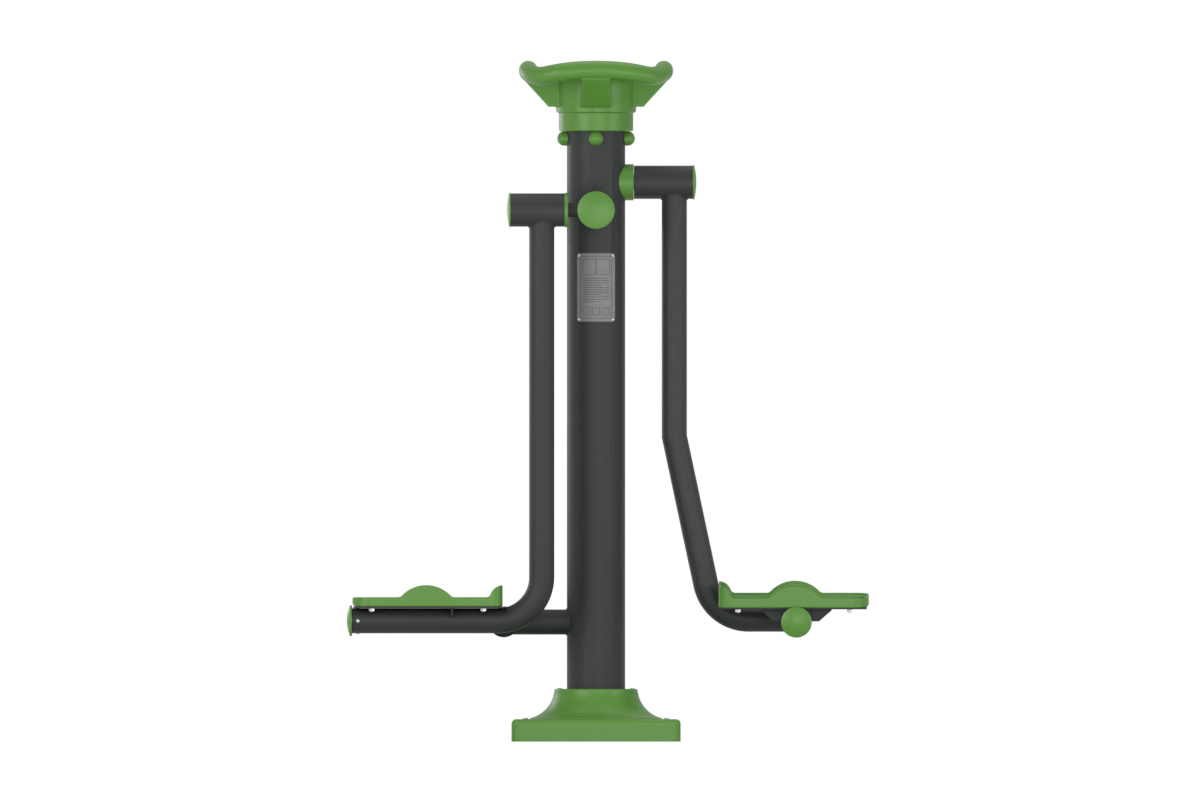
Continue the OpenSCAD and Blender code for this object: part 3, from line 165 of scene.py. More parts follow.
# %% Fade to white with distance from the post
near_share, fade_starts, fade_ends = 0.3, 0.7, 2.7
distance = tree.nodes.new("ShaderNodeVectorMath")
distance.operation = "LENGTH"
give(tree, own_place(tree), distance.inputs[0])
fade = tree.nodes.new("ShaderNodeMapRange")
fade.interpolation_type = "SMOOTHSTEP"
for label, value in (("From Min", fade_starts), ("From Max", fade_ends), ("To Min", near_share),
                     ("Value", distance.outputs["Value"])):
    give(tree, value, fade.inputs[label])
white = tree.nodes.new("ShaderNodeEmission")
blend = tree.nodes.new("ShaderNodeMixShader")
give(tree, add_math(tree, "MULTIPLY", fade.outputs[0], seen), blend.inputs["Fac"])
give(tree, floor_shader.outputs[0], blend.inputs[1])
give(tree, white.outputs[0], blend.inputs[2])
give(tree, blend.outputs[0], tree.nodes["Material Output"].inputs["Surface"])
print("floor fades between", fade_starts, "and", fade_ends, "m")

# %% [markdown]
# ## Studio light
# The photo is lit softly from the left front, with white all round. The white behind the
# object has full strength for the camera only. As light it would wash out the shading, so
# Light Path gives the surfaces about a third of it, and what mirrors about a half.
#
# Large square area lamps add direction; a sun would give hard shadows. All are hidden from
# the camera, because a lamp in view shines over the outline of the thin tubes before it.
# The one behind the machine is kept out of reflections too: at a glancing angle even the
# rough coat would mirror it and the outline would look frayed.

# %% White studio world: full white for the eye, gentler for the light it gives
light_share, mirror_share = 0.36, 0.3
world = bpy.data.worlds.new("studio")
bpy.context.scene.world = world
world.use_nodes = True
tree = world.node_tree
tree.nodes.clear()
behind, lighting = tree.nodes.new("ShaderNodeBackground"), tree.nodes.new("ShaderNodeBackground")
for sky, strength in ((behind, 1.0), (lighting, light_share)):
    sky.inputs["Color"].default_value = (1, 1, 1, 1)
    sky.inputs["Strength"].default_value = strength
light_path = tree.nodes.new("ShaderNodeLightPath").outputs
mirrored = add_math(tree, "MULTIPLY", light_path["Is Glossy Ray"], mirror_share)
blend, out = tree.nodes.new("ShaderNodeMixShader"), tree.nodes.new("ShaderNodeOutputWorld")
give(tree, add_math(tree, "MAXIMUM", light_path["Is Camera Ray"], mirrored), blend.inputs["Fac"])
give(tree, lighting.outputs[0], blend.inputs[1])
give(tree, behind.outputs[0], blend.inputs[2])
give(tree, blend.outputs[0], out.inputs["Surface"])
print("world light:", light_share)

# %% Soft lamps, hidden from the camera
def area_lamp(name, place, size, power):
    """Square lamp, its size in metres and power in watts, aimed at the lit point."""
    data = bpy.data.lights.new(name, "AREA")
    data.shape = "SQUARE"
    data.size = size
    data.energy = power
    lamp = bpy.data.objects.new(name, data)
    lamp.location = place
    lamp.rotation_euler = (Vector(lit_point) - Vector(place)).to_track_quat("-Z", "Y").to_euler()
    lamp.visible_camera = False
    bpy.context.scene.collection.objects.link(lamp)
    return lamp


lit_point = (0, 0, 0.85)
area_lamp("left_front_lamp", (-3.0, -3.9, 1.7), 2.4, 74)
area_lamp("front_fill_lamp", (0.9, -5.4, 0.5), 2.6, 84)
area_lamp("right_front_lamp", (3.6, -2.4, 1.1), 1.6, 30)
area_lamp("top_lamp", (0.3, 0.6, 4.6), 3.0, 34)
area_lamp("left_rim_lamp", (-3.8, 0.3, 1.5), 1.6, 5)
area_lamp("left_back_lamp", (-2.6, 3.0, 1.5), 1.8, 22)
back_fill = area_lamp("back_fill_lamp", (0.5, 4.8, 1.4), 2.4, 62)
back_fill.visible_glossy = False
bpy.context.scene.view_settings.view_transform = "Standard"

# %% [markdown]
# ## Finishes
# Real finishes are never one flat colour: powder coat has a fine orange peel, moulded
# plastic a spark-eroded grain, and edges are rubbed a little lighter. On the green plastic
# that lighter edge is a painted highlight as well. These effects could be painted into images,
# but an image blurs when seen near. So each such effect is a node group, computed at every
# point, built once and placed in every material that shows it. The groups put out only
# colours, roughness and heights; the shader itself stays in the material.

# %% Helpers: a shader node group with named sockets, and what the groups share
def new_group(name, inputs, outputs):
    group = bpy.data.node_groups.new(name, "ShaderNodeTree")
    for label, kind, value in inputs:
        socket = group.interface.new_socket(label, in_out="INPUT", socket_type=kind)
        socket.default_value = value
    for label, kind in outputs:
        group.interface.new_socket(label, in_out="OUTPUT", socket_type=kind)
    start, end = group.nodes.new("NodeGroupInput"), group.nodes.new("NodeGroupOutput")
    return group, start.outputs, end.inputs


def vary_roughness(group, given, result, pattern):
    """Put out the given roughness, moved up and down by a pattern of values round 0.5."""
    swing = add_math(group, "SUBTRACT", pattern, 0.5)
    moved = add_math(group, "MULTIPLY_ADD", swing, given["Roughness change"], given["Roughness"])
    give(group, moved, result["Roughness"])


print("group helpers ready")

# %% [markdown]
# ## Grain of the coat and the plastic
# Powder coat sets with a faint orange peel, and a mould leaves the grain of its wall on the
# plastic. A mesh that fine would be too heavy. So noise of two sizes drives a Bump node, and
# the coarse one also moves the roughness a little, which breaks up the highlights.

# %% Group: fine grain, as height and as a small change of roughness
coarse_ratio = 0.22  # coarse grains on a metre, as a share of the fine ones
fine_grain, given, result = new_group(
    "fine_grain",
    [("Grains per metre", "NodeSocketFloat", 500.0), ("Coarse share", "NodeSocketFloat", 0.3),
     ("Roughness", "NodeSocketFloat", 0.5), ("Roughness change", "NodeSocketFloat", 0.08)],
    [("Height", "NodeSocketFloat"), ("Roughness", "NodeSocketFloat")])
place, grains = own_place(fine_grain), given["Grains per metre"]
coarse_grains = add_math(fine_grain, "MULTIPLY", grains, coarse_ratio)
fine = add_noise(fine_grain, place, grains, detail=3.0)
coarse = add_noise(fine_grain, place, coarse_grains, detail=1.0)
height = add_math(fine_grain, "MULTIPLY_ADD", coarse, given["Coarse share"], fine)
give(fine_grain, height, result["Height"])
vary_roughness(fine_grain, given, result, coarse)
print("group:", fine_grain.name)

# %% [markdown]
# ## Rubbed edges, and painted highlights on edges
# Hands, shoes and weather rub the edges first, and the coat gets lighter there. On the green
# plastic the same lighter edge is also a painted highlight, standing in for the light that
# its rounded edges catch. A mask painted by hand would have to be made again for every piece.
# Pointiness tells how sharply the mesh bends outward at each point, and a patchy noise keeps
# the lighter edge from looking like a drawn line.

# %% Group: lighter outward edges, from rubbing and as a painted highlight
lightened_from, lightened_fully = 0.515, 0.60  # Pointiness of a gentle and of a sharp outward bend
patches_per_metre = 45.0
edge_wear_and_highlight, given, result = new_group(
    "edge_wear_and_highlight",
    [("Colour", "NodeSocketColor", (0.1, 0.1, 0.1, 1)),
     ("Worn colour", "NodeSocketColor", (0.3, 0.3, 0.3, 1)), ("Amount", "NodeSocketFloat", 0.3)],
    [("Colour", "NodeSocketColor"), ("Mask", "NodeSocketFloat")])
patchy = add_noise(edge_wear_and_highlight, own_place(edge_wear_and_highlight), patches_per_metre, detail=4.0, roughness=0.6)
edge = edge_wear_and_highlight.nodes.new("ShaderNodeMapRange")
bend = edge_wear_and_highlight.nodes.new("ShaderNodeNewGeometry").outputs["Pointiness"]
for label, value in (("Value", bend), ("From Min", lightened_from), ("From Max", lightened_fully)):
    give(edge_wear_and_highlight, value, edge.inputs[label])
# Lighter edges: rubbing on the coat, and a painted highlight on the green plastic.
mask = add_math(edge_wear_and_highlight, "MULTIPLY", edge.outputs[0], patchy)
mask = add_math(edge_wear_and_highlight, "MULTIPLY", mask, given["Amount"])
give(edge_wear_and_highlight, mask, result["Mask"])
give(edge_wear_and_highlight, add_mix(edge_wear_and_highlight, mask, given["Colour"], given["Worn colour"]), result["Colour"])
print("group:", edge_wear_and_highlight.name)

# %% [markdown]
# ## Drift of tone, and dust
# A large surface never has quite one tone, and dust settles on what faces up. An image
# could hold both, but it would have to be fitted to every piece. Noise with a few waves to
# the metre gives the drift, and the upward part of the normal says where dust stays.

# %% Group: slow drift of tone over a large surface, with settled dust on what faces up
dust_colour = (0.55, 0.53, 0.48)
waves_per_metre, specks_per_metre = 3.2, 60.0
tone_drift, given, result = new_group(
    "tone_drift",
    [("Colour", "NodeSocketColor", (0.1, 0.1, 0.1, 1)), ("Drift", "NodeSocketFloat", 0.06),
     ("Dust", "NodeSocketFloat", 0.05)],
    [("Colour", "NodeSocketColor")])
place = own_place(tone_drift)
waves = add_noise(tone_drift, place, waves_per_metre, detail=3.0, roughness=0.55)
slow = add_math(tone_drift, "SUBTRACT", waves, 0.5)
lighter = add_math(tone_drift, "MULTIPLY", slow, given["Drift"])
drifted = tone_drift.nodes.new("ShaderNodeVectorMath")
drifted.operation = "SCALE"
give(tone_drift, given["Colour"], drifted.inputs[0])
give(tone_drift, add_math(tone_drift, "MULTIPLY_ADD", lighter, 2.0, 1.0), drifted.inputs["Scale"])
split = tone_drift.nodes.new("ShaderNodeSeparateXYZ")
give(tone_drift, tone_drift.nodes.new("ShaderNodeNewGeometry").outputs["Normal"], split.inputs[0])
faces_up = add_math(tone_drift, "MAXIMUM", split.outputs["Z"], 0.0)
settled = add_math(tone_drift, "MULTIPLY", faces_up, given["Dust"])
specks = add_noise(tone_drift, place, specks_per_metre, detail=4.0, roughness=0.7)
dust = add_math(tone_drift, "MULTIPLY", settled, specks)
give(tone_drift, add_mix(tone_drift, dust, drifted.outputs[0], dust_colour), result["Colour"])
print("group:", tone_drift.name)

# %% [markdown]
# ## Brushed metal
# Rolled sheet and ground axles have fine lines that run one way. Scratches could be cut as
# grooves, but there are thousands. Noise whose coordinates are stretched gives them too: a
# large number across the lines and a small one along them.

# %% Group: lines drawn by brushing metal one way
brushed_lines, given, result = new_group(
    "brushed_lines",
    [("Stretch", "NodeSocketVector", (40.0, 40.0, 900.0)), ("Roughness", "NodeSocketFloat", 0.35),
     ("Roughness change", "NodeSocketFloat", 0.2)],
    [("Height", "NodeSocketFloat"), ("Roughness", "NodeSocketFloat")])
stretch = brushed_lines.nodes.new("ShaderNodeVectorMath")
stretch.operation = "MULTIPLY"
give(brushed_lines, own_place(brushed_lines), stretch.inputs[0])
give(brushed_lines, given["Stretch"], stretch.inputs[1])
lines = add_noise(brushed_lines, stretch.outputs[0], 1.0, detail=5.0, roughness=0.6)
give(brushed_lines, lines, result["Height"])
vary_roughness(brushed_lines, given, result, lines)
print("group:", brushed_lines.name)

# %% [markdown]
# ## Materials
# The tubes are powder coated, the mouldings dyed green plastic, the screws zinc plated, the
# axles bare steel. Every one of them is one Principled BSDF, because it keeps light in
# balance by itself. A helper wires tone drift, then the lighter edges (rubbed, and on the
# green plastic a painted highlight), into Base Color, and grain into Roughness and a Bump
# node. Brushed metals use the brushed lines in place of grain.

# %% Helper: build a material from the groups
bump_strength = 0.5


def place_group(tree, group, **values):
    node = tree.nodes.new("ShaderNodeGroup")
    node.node_tree = group
    for label, value in values.items():
        node.inputs[label.replace("_", " ")].default_value = value
    return node


def finish_material(name, colour, worn_and_highlit, wear_and_highlight, drift, dust, roughness, change, depth,
                    grains=None, brushed=None, metallic=0.0, specular=0.5):
    """A finish; grains is the grain's count on a metre, brushed the stretch of its lines."""
    made = bpy.data.materials.new(name)
    made.use_nodes = True
    tree = made.node_tree
    shader = tree.nodes["Principled BSDF"]
    tone = place_group(tree, tone_drift, Colour=(*colour, 1), Drift=drift, Dust=dust)
    # Lighter edges: rubbing, and on the green plastic a painted highlight.
    edges = place_group(tree, edge_wear_and_highlight, Worn_colour=(*worn_and_highlit, 1), Amount=wear_and_highlight)
    if brushed:
        surface = place_group(tree, brushed_lines, Stretch=brushed, Roughness=roughness,
                              Roughness_change=change)
    else:
        surface = place_group(tree, fine_grain, Grains_per_metre=grains, Roughness=roughness,
                              Roughness_change=change)
    bump = tree.nodes.new("ShaderNodeBump")
    bump.inputs["Strength"].default_value = bump_strength
    bump.inputs["Distance"].default_value = depth
    for start, end in ((tone.outputs["Colour"], edges.inputs["Colour"]),
                       (edges.outputs["Colour"], shader.inputs["Base Color"]),
                       (surface.outputs["Roughness"], shader.inputs["Roughness"]),
                       (surface.outputs["Height"], bump.inputs["Height"]),
                       (bump.outputs["Normal"], shader.inputs["Normal"])):
        tree.links.new(start, end)
    shader.inputs["Metallic"].default_value = metallic
    shader.inputs["Specular IOR Level"].default_value = specular
    return made


print("material helper ready")

# %% The finishes of this machine
dark_coat = finish_material(
    "dark_powder_coat", colour=(0.032, 0.035, 0.035), worn_and_highlit=(0.12, 0.12, 0.12), wear_and_highlight=0.25,
    drift=0.10, dust=0.04, roughness=0.50, change=0.10, depth=0.00022, grains=620.0, specular=0.34)
# The green's lighter edge colour is partly rubbing and partly a painted highlight on rounded edges.
green_plastic = finish_material(
    "green_plastic", colour=(0.104, 0.292, 0.034), worn_and_highlit=(0.20, 0.42, 0.10), wear_and_highlight=0.22,
    drift=0.05, dust=0.04, roughness=0.38, change=0.08, depth=0.00008, grains=1500.0)
zinc = finish_material(
    "zinc_plate", colour=(0.66, 0.66, 0.63), worn_and_highlit=(0.8, 0.8, 0.79), wear_and_highlight=0.4,
    drift=0.12, dust=0.03, roughness=0.30, change=0.14, depth=0.00004, grains=900.0, metallic=0.8)
bare_steel = finish_material(
    "bare_steel", colour=(0.42, 0.42, 0.41), worn_and_highlit=(0.6, 0.6, 0.6), wear_and_highlight=0.4,
    drift=0.12, dust=0.03, roughness=0.36, change=0.16, depth=0.00005,
    brushed=(400.0, 400.0, 60.0), metallic=1.0)
black_rubber = finish_material(
    "black_rubber", colour=(0.018, 0.018, 0.019), worn_and_highlit=(0.05, 0.05, 0.05), wear_and_highlight=0.35,
    drift=0.10, dust=0.06, roughness=0.72, change=0.12, depth=0.00012, grains=1100.0, specular=0.35)
plate_metal = finish_material(
    "plate_aluminium", colour=(0.20, 0.20, 0.20), worn_and_highlit=(0.5, 0.5, 0.5), wear_and_highlight=0.4,
    drift=0.06, dust=0.02, roughness=0.60, change=0.12, depth=0.00002,
    brushed=(18.0, 18.0, 1400.0), metallic=0.25)
by_slot = {"dark_powder_coat": dark_coat, "green_plastic": green_plastic, "zinc_fasteners": zinc,
           "bare_steel": bare_steel, "black_rubber": black_rubber, "plate_metal": plate_metal}
print("finishes:", [made.name for made in by_slot.values()])

# %% [markdown]
# ## Solids that stay
# A sawn or turned edge always has a small break, which catches light. Such a break could be
# cut in the solid, but it's too small to matter to the part's use. So the solids are kept
# exactly as packed, with modifiers on top. Weld joins the faces of each solid's mesh, Bevel
# breaks its sharp edges by part of a millimetre, and Weighted Normal keeps flat faces flat.

# %% Give every solid its finish
slot_of = {row["node"]: row["material_slot"] for row in frame["record"]["subparts"]}
for name, solid in nodes.items():
    solid.data.materials.clear()
    solid.data.materials.append(by_slot[slot_of[name]])
print("finished solids:", len(nodes))

# %% Break the edges of the cut and turned solids that show
weld_within, sharp_from = 0.00001, math.radians(32)


def join_faces(piece):
    piece.modifiers.new("join_faces", "WELD").merge_threshold = weld_within


def break_edges(piece, width):
    join_faces(piece)
    bevel = piece.modifiers.new("broken_edge", "BEVEL")
    bevel.width = width
    bevel.segments = 2
    bevel.limit_method = "ANGLE"
    bevel.angle_limit = sharp_from
    piece.modifiers.new("flat_faces", "WEIGHTED_NORMAL").keep_sharp = True


broken_by = {  # width of the break in millimetres, and the solids that have it
    0.2: ("swing_collar",),
    0.3: ("swing_housing",),
    0.4: ("front_tube", "rear_tube"),
    0.5: ("cross_arm", "swing_stub", "stop_arm"),
    0.6: ("post", "front_axle", "rear_axle", "swing_axle"),
    0.7: ("front_foot_plate", "rear_foot_plate", "swing_foot_plates"),
    0.8: ("front_housing", "rear_housing"),
    1.0: ("base_plate",)}
for width, names in broken_by.items():
    for name in names:
        break_edges(nodes[name], width * mm)
print("solids with broken edges:", sum(len(names) for names in broken_by.values()))

# %% [markdown]
# ## Making pieces
# Most of the moulded and screwed parts are either turned or lofted. A turned part is a
# profile spun round an axis. A lofted part joins a stack of loops that have the same number
# of points. Both could be made from Blender's own cylinders and a bevel, but then every
# edge would get the same radius. Here each corner of a profile has a radius of its own, and
# every edge is rounded in the mesh itself and not only in the shading.

# %% Helper: a polyline whose corners are rounded
def rounded_line(corners, closed=False, steps=6):
    """Points of a line through (x, y, radius) corners, each rounded in so many steps."""
    points = []
    count = len(corners)
    for i, (x, y, radius) in enumerate(corners):
        here = Vector((x, y))
        if radius <= 0 or (not closed and i in (0, count - 1)):
            points.append(here)
            continue
        before = Vector(corners[i - 1][:2]) - here
        after = Vector(corners[(i + 1) % count][:2]) - here
        half_angle = before.angle(after) / 2
        before, after = before.normalized(), after.normalized()
        reach = radius / math.tan(half_angle)
        start, end = here + before * reach, here + after * reach
        centre = here + (before + after).normalized() * (radius / math.sin(half_angle))
        arm = start - centre
        sweep = arm.angle_signed(end - centre)
        for k in range(steps + 1):
            points.append(centre + Matrix.Rotation(-sweep * k / steps, 2) @ arm)
    return points


square = [(0, 0, 1), (9, 0, 1), (9, 9, 1), (0, 9, 1)]
print("points of a rounded square:", len(rounded_line(square, closed=True)))

# %% Helpers: loft a stack of loops into one mesh, and turn a profile round the Z axis
def loft(loops, closed_stack=False):
    """Join loops of equal length; the last also joins the first, or both ends are capped."""
    rows, wide = len(loops), len(loops[0])
    points = [tuple(p) for loop in loops for p in loop]
    faces = []
    for i in range(rows if closed_stack else rows - 1):
        j = (i + 1) % rows
        for k in range(wide):
            m = (k + 1) % wide
            faces.append((i * wide + k, i * wide + m, j * wide + m, j * wide + k))
    if not closed_stack:
        faces.append(tuple(reversed(range(wide))))
        faces.append(tuple((rows - 1) * wide + k for k in range(wide)))
    return points, faces


def turned(profile, around=96, closed=False):
    """Spin (radius, height) pairs; either of the two may also be a function of the angle."""
    loops = []
    for radius, height in profile:
        loop = []
        for angle in (math.tau * k / around for k in range(around)):
            r = radius(angle) if callable(radius) else radius
            z = height(angle) if callable(height) else height
            loop.append((r * math.cos(angle), r * math.sin(angle), z))
        loops.append(loop)
    return loft(loops, closed)


print("lofting helpers ready")

# %% Helpers: place shapes and join them
def facing(place, direction):
    """Matrix that puts local Z along direction at place."""
    turn = Vector(direction).to_track_quat("Z", "Y").to_matrix().to_4x4()
    return Matrix.Translation(place) @ turn


def placed(shape, matrix):
    points, faces = shape
    return [tuple(matrix @ Vector(p)) for p in points], faces


def joined(*shapes):
    points, faces = [], []
    for some_points, some_faces in shapes:
        base = len(points)
        points += list(some_points)
        faces += [tuple(base + i for i in face) for face in some_faces]
    return points, faces


print("placing helpers ready")

# %% Helper: a piece from a shape in millimetres, smooth but for its sharp edges
merge_within, smooth_below = 0.000002, math.radians(35)


def add_piece(name, shape, material, body, stands_for=()):
    points, faces = shape
    mesh = bpy.data.meshes.new(name)
    mesh.from_pydata([tuple(c * mm for c in p) for p in points], [], faces)
    work = bmesh.new()
    work.from_mesh(mesh)
    bmesh.ops.remove_doubles(work, verts=work.verts, dist=merge_within)
    bmesh.ops.recalc_face_normals(work, faces=work.faces)
    for face in work.faces:
        face.smooth = True
    for edge in work.edges:
        edge.smooth = not (edge.is_manifold and edge.calc_face_angle(0) > smooth_below)
    work.to_mesh(mesh)
    work.free()
    mesh.materials.append(material)
    piece = bpy.data.objects.new(name, mesh)
    bpy.context.scene.collection.objects.link(piece)
    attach(piece, body)
    if stands_for:
        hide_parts(*stands_for)
    print(name, "on", body, "faces:", len(mesh.polygons))


print("piece helper ready")

# %% [markdown]
# ## Round caps
# Every open tube end is closed by a green plastic cap: a plug, a thin flange with a rounded
# rim and a shallow dome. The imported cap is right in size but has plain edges. They could be
# bevelled, but the rim, the plug and the seat each need a radius of their own. So the cap is
# turned again from the same sizes, with the radii a mould leaves.

# %% Places and sizes of the machine, in millimetres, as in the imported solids
left_pair = ((-1, "front"), (1, "rear"))
post_radius, tube_radius, arm_radius, arm_end_y = 69.85, 30.15, 38.05, 214.0
walker_pivot_x, walker_y, walker_pivot_z = -75.7, 180.0, 1275.8
walker_housing_length, walker_foot_end, walker_foot_z = 129.1, 585.7, 290.0
swing_pivot_x, swing_pivot_z, swing_housing_length = 90.8, 1342.3, 141.4
swing_foot_z, cross_tube_x, cross_tube_half = 292.9, 480.8, 172.0
rest_lean = math.radians(2.4)
lean = (Matrix.Translation((0, 0, swing_pivot_z)) @ Matrix.Rotation(rest_lean, 4, "X")
        @ Matrix.Translation((0, 0, -swing_pivot_z)))
print("side swing leans", round(math.degrees(rest_lean), 2), "degrees at rest")

# %% Helper: cap with a plug, a rounded flange and a low dome
rim_width, dome_steps, tip_radius = 1.5, 14, 0.02


def dome_cap(flange_radius, flange, rise, plug_radius, plug_length):
    """The plug reaches below z = 0, the flange and the dome stand above it."""
    edge = min(1.2, flange * 0.3)
    ball = (flange_radius ** 2 + rise ** 2) / (2 * rise)
    dome_radius = flange_radius - rim_width

    def dome_height(radius):
        return flange + math.sqrt(ball ** 2 - radius ** 2) - (ball - rise)

    corners = [(plug_radius - 3, -plug_length, 0), (plug_radius, -plug_length, 0.8),
               (plug_radius, 0, 0.4), (flange_radius, 0, edge),
               (flange_radius, flange, edge * 1.1), (dome_radius, dome_height(dome_radius), 0)]
    dome = []
    for k in range(1, dome_steps + 1):
        radius = dome_radius * math.sin((1 - k / dome_steps) * math.pi / 2)
        dome.append((max(radius, tip_radius), dome_height(radius)))
    return turned(rounded_line(corners, steps=4) + dome)


housing_cap = dome_cap(flange_radius=41.3, flange=3.5, rise=5.0, plug_radius=35.7, plug_length=8.0)
tube_cap = dome_cap(flange_radius=37.0, flange=5.0, rise=7.3, plug_radius=26.6, plug_length=20.0)
arm_cap = dome_cap(flange_radius=45.0, flange=5.0, rise=6.0, plug_radius=33.7, plug_length=9.0)
print("points of one cap:", len(tube_cap[0]))

# %% Caps on the cross arm, the housings and the foot tubes
for side, name in left_pair:
    housing_end = (walker_pivot_x - walker_housing_length, side * walker_y, walker_pivot_z)
    add_piece(name + "_pivot_cap", placed(housing_cap, facing(housing_end, (-1, 0, 0))),
              green_plastic, name + "_walker", (name + "_housing_cap",))
    foot_end = (-walker_foot_end, side * walker_y, walker_foot_z)
    add_piece(name + "_tube_end_cap", placed(tube_cap, facing(foot_end, (-1, 0, 0))),
              green_plastic, name + "_walker", (name + "_foot_cap",))
arm_caps = [placed(arm_cap, facing((0, side * arm_end_y, walker_pivot_z), (0, side, 0)))
            for side in (-1, 1)]
add_piece("arm_end_caps", joined(*arm_caps), green_plastic, "stand", ("cross_arm_caps",))
housing_end = (swing_pivot_x + swing_housing_length, 0, swing_pivot_z)
add_piece("swing_pivot_cap", placed(housing_cap, lean @ facing(housing_end, (1, 0, 0))),
          green_plastic, "side_swing", ("swing_housing_cap",))
cross_caps = [placed(tube_cap, lean @ facing(
    (cross_tube_x, side * cross_tube_half, swing_foot_z), (0, side, 0))) for side in (-1, 1)]
add_piece("swing_cross_caps", joined(*cross_caps), green_plastic, "side_swing",
          ("swing_tube_caps",))

# %% [markdown]
# ## Moulded parts
# The wheel, the pedals and the base cover are plastic mouldings: no edge on them is sharp,
# and where two forms meet there is a fillet. A bevel would fail where so many faces meet.
# The solid already has the right form, so a copy of its mesh is remeshed into small even
# squares and relaxed. The relaxing rounds every outer edge and fills every inner corner by
# about the size of a few squares.
#
# The squares come from a grid along the three axes. A face that slopes a little against the
# grid gets long steps, which relaxing turns into ripples. So a leaning pedal is stood
# upright before it is remeshed and leaned again after. The wheel, whose spokes slope
# slightly, is turned well askew: there the steps are short enough to vanish.

# %% Helper: even squares over a copy of a solid, relaxed until its edges are round
def relaxed_copy(name, node, square, rounds, material, body, turn=None):
    """Copy a solid in squares of so many millimetres; turn is its pose above the grid."""
    copy = bpy.data.objects.new(name, nodes[node].data.copy())
    bpy.context.scene.collection.objects.link(copy)
    if turn:
        copy.data.transform(turn.inverted())
    join_faces(copy)
    remesh = copy.modifiers.new("even_squares", "REMESH")
    remesh.mode = "VOXEL"
    remesh.voxel_size = square * mm
    relax = copy.modifiers.new("relax", "SMOOTH")
    relax.factor = 0.5
    relax.iterations = rounds
    mesh = bpy.data.meshes.new_from_object(
        copy.evaluated_get(bpy.context.evaluated_depsgraph_get()))
    copy.modifiers.clear()
    copy.data = mesh
    mesh.name = name
    if turn:
        mesh.transform(turn)
    for face in mesh.polygons:
        face.use_smooth = True
    mesh.materials.clear()
    mesh.materials.append(material)
    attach(copy, body)
    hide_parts(node)
    print(name, "on", body, "faces:", len(mesh.polygons))


print("moulding helper ready")

# %% Wheel, cover and pedals
askew = Matrix.Rotation(math.radians(31), 4, "Z") @ Matrix.Rotation(math.radians(23), 4, "X")
relaxed_copy("grip_wheel", "hand_wheel", 1.5, 9, green_plastic, "stand", askew)
for side in ("front", "rear"):
    relaxed_copy(side + "_cover_half", side + "_base_cover", 1.4, 4, green_plastic, "stand")
lean_in_metres = Matrix.Scale(mm, 4) @ lean @ Matrix.Scale(1 / mm, 4)
for node, body, turn in (("front_pedal", "front_walker", None), ("rear_pedal", "rear_walker", None),
                         ("swing_front_pedal", "side_swing", lean_in_metres),
                         ("swing_rear_pedal", "side_swing", lean_in_metres)):
    relaxed_copy(node + "_tray", node, 1.2, 9, green_plastic, body, turn)

# %% [markdown]
# ## Screws and nuts
# Zinc-plated fasteners are small, but they are the only bright points on the machine. A
# nut is a hexagon whose corners are turned off by a cone, a bolt end shows its thread, and
# a button head has a hexagon socket. A cylinder with a cut hexagon would do, but its edges
# would be sharp. Each is turned instead, with a radius that follows the angle where the
# form is six-sided, so a round loop can pass into a hexagon.

# %% Helpers: a hexagon's radius, a nut, and a screw with a button head
screw_points, axis_radius = 48, 0.05


def hex_radius(across, angle):
    return across / 2 / math.cos((angle + math.pi / 6) % (math.pi / 3) - math.pi / 6)


def hex_nut(across, height, bore):
    flat = across * 0.47
    corner = lambda a: hex_radius(across, a)
    cut = lambda a: (hex_radius(across, a) - flat) * 0.55
    profile = [(bore / 2, 0.8), (bore / 2 + 0.6, 0), (flat, 0), (corner, cut),
               (corner, lambda a: height - cut(a)), (flat, height), (bore / 2 + 0.6, height),
               (bore / 2, height - 0.8)]
    return turned(profile, screw_points, closed=True)


def button_bolt(head, rise, shank, length, socket, depth, thread=6.0, pitch=1.25):
    """The shank reaches down from z = 0, with a thread at its end; the head stands on top."""
    radius, turns = shank / 2, int(thread / pitch)
    profile = [(axis_radius, -length), (radius - 1.0, -length), (radius - 0.3, -length + 0.8)]
    for k in range(turns):
        z = -length + 0.9 + k * pitch
        profile += [(radius - 0.05, z + pitch * 0.3), (radius - 0.55, z + pitch * 0.8)]
    profile += [(radius, -length + 1.2 + turns * pitch), (radius, 0), (head / 2 - 0.4, 0),
                (head / 2, 0.5)]
    for share in (k / 8 for k in range(1, 8)):
        profile.append((head / 2 - (head / 2 - socket * 0.62) * share,
                        0.5 + (rise - 0.5) * math.sin(share * math.pi / 2)))
    well = lambda a: hex_radius(socket, a)
    profile += [(lambda a: well(a) + 0.25, rise), (well, rise - 0.3), (well, rise - depth),
                (axis_radius, rise - depth - 0.3)]
    return turned(profile, screw_points)


print("screw helpers ready")

# %% Pedal bolts with their nuts, and the screws that hold the tube caps
pedal_bolt = button_bolt(head=16, rise=3.5, shank=8, length=17.9, socket=5, depth=2.0)
pedal_nut = hex_nut(across=13, height=7.4, bore=8)
cap_screw = button_bolt(head=9, rise=2.0, shank=6, length=7.5, socket=3.2, depth=1.3,
                        thread=2.5, pitch=1.0)
bolt_x, bolt_y, bolt_z, nut_z = 134.0, 44.0, 5.0, -11.4  # from the middle of the foot plate
cap_screw_inset = 14.0


def pedal_bolts(place):
    shapes = []
    for sx in (-1, 1):
        for sy in (-1, 1):
            spot = place @ Matrix.Translation((sx * bolt_x, sy * bolt_y, 0))
            shapes += [placed(pedal_bolt, spot @ Matrix.Translation((0, 0, bolt_z))),
                       placed(pedal_nut, spot @ Matrix.Translation((0, 0, nut_z)))]
    return shapes


def cap_screws(place, along):
    """Three screws round a tube end: along is the tube's direction, place its cap."""
    shapes = []
    for direction in ((0, 0, 1), (0, 0, -1), Vector(along).cross((0, 0, 1))):
        spot = Vector(place) + Vector(along) * cap_screw_inset + Vector(direction) * tube_radius
        shapes.append(placed(cap_screw, facing(spot, direction)))
    return shapes


print("shapes round one pedal:", len(pedal_bolts(Matrix.Identity(4))))

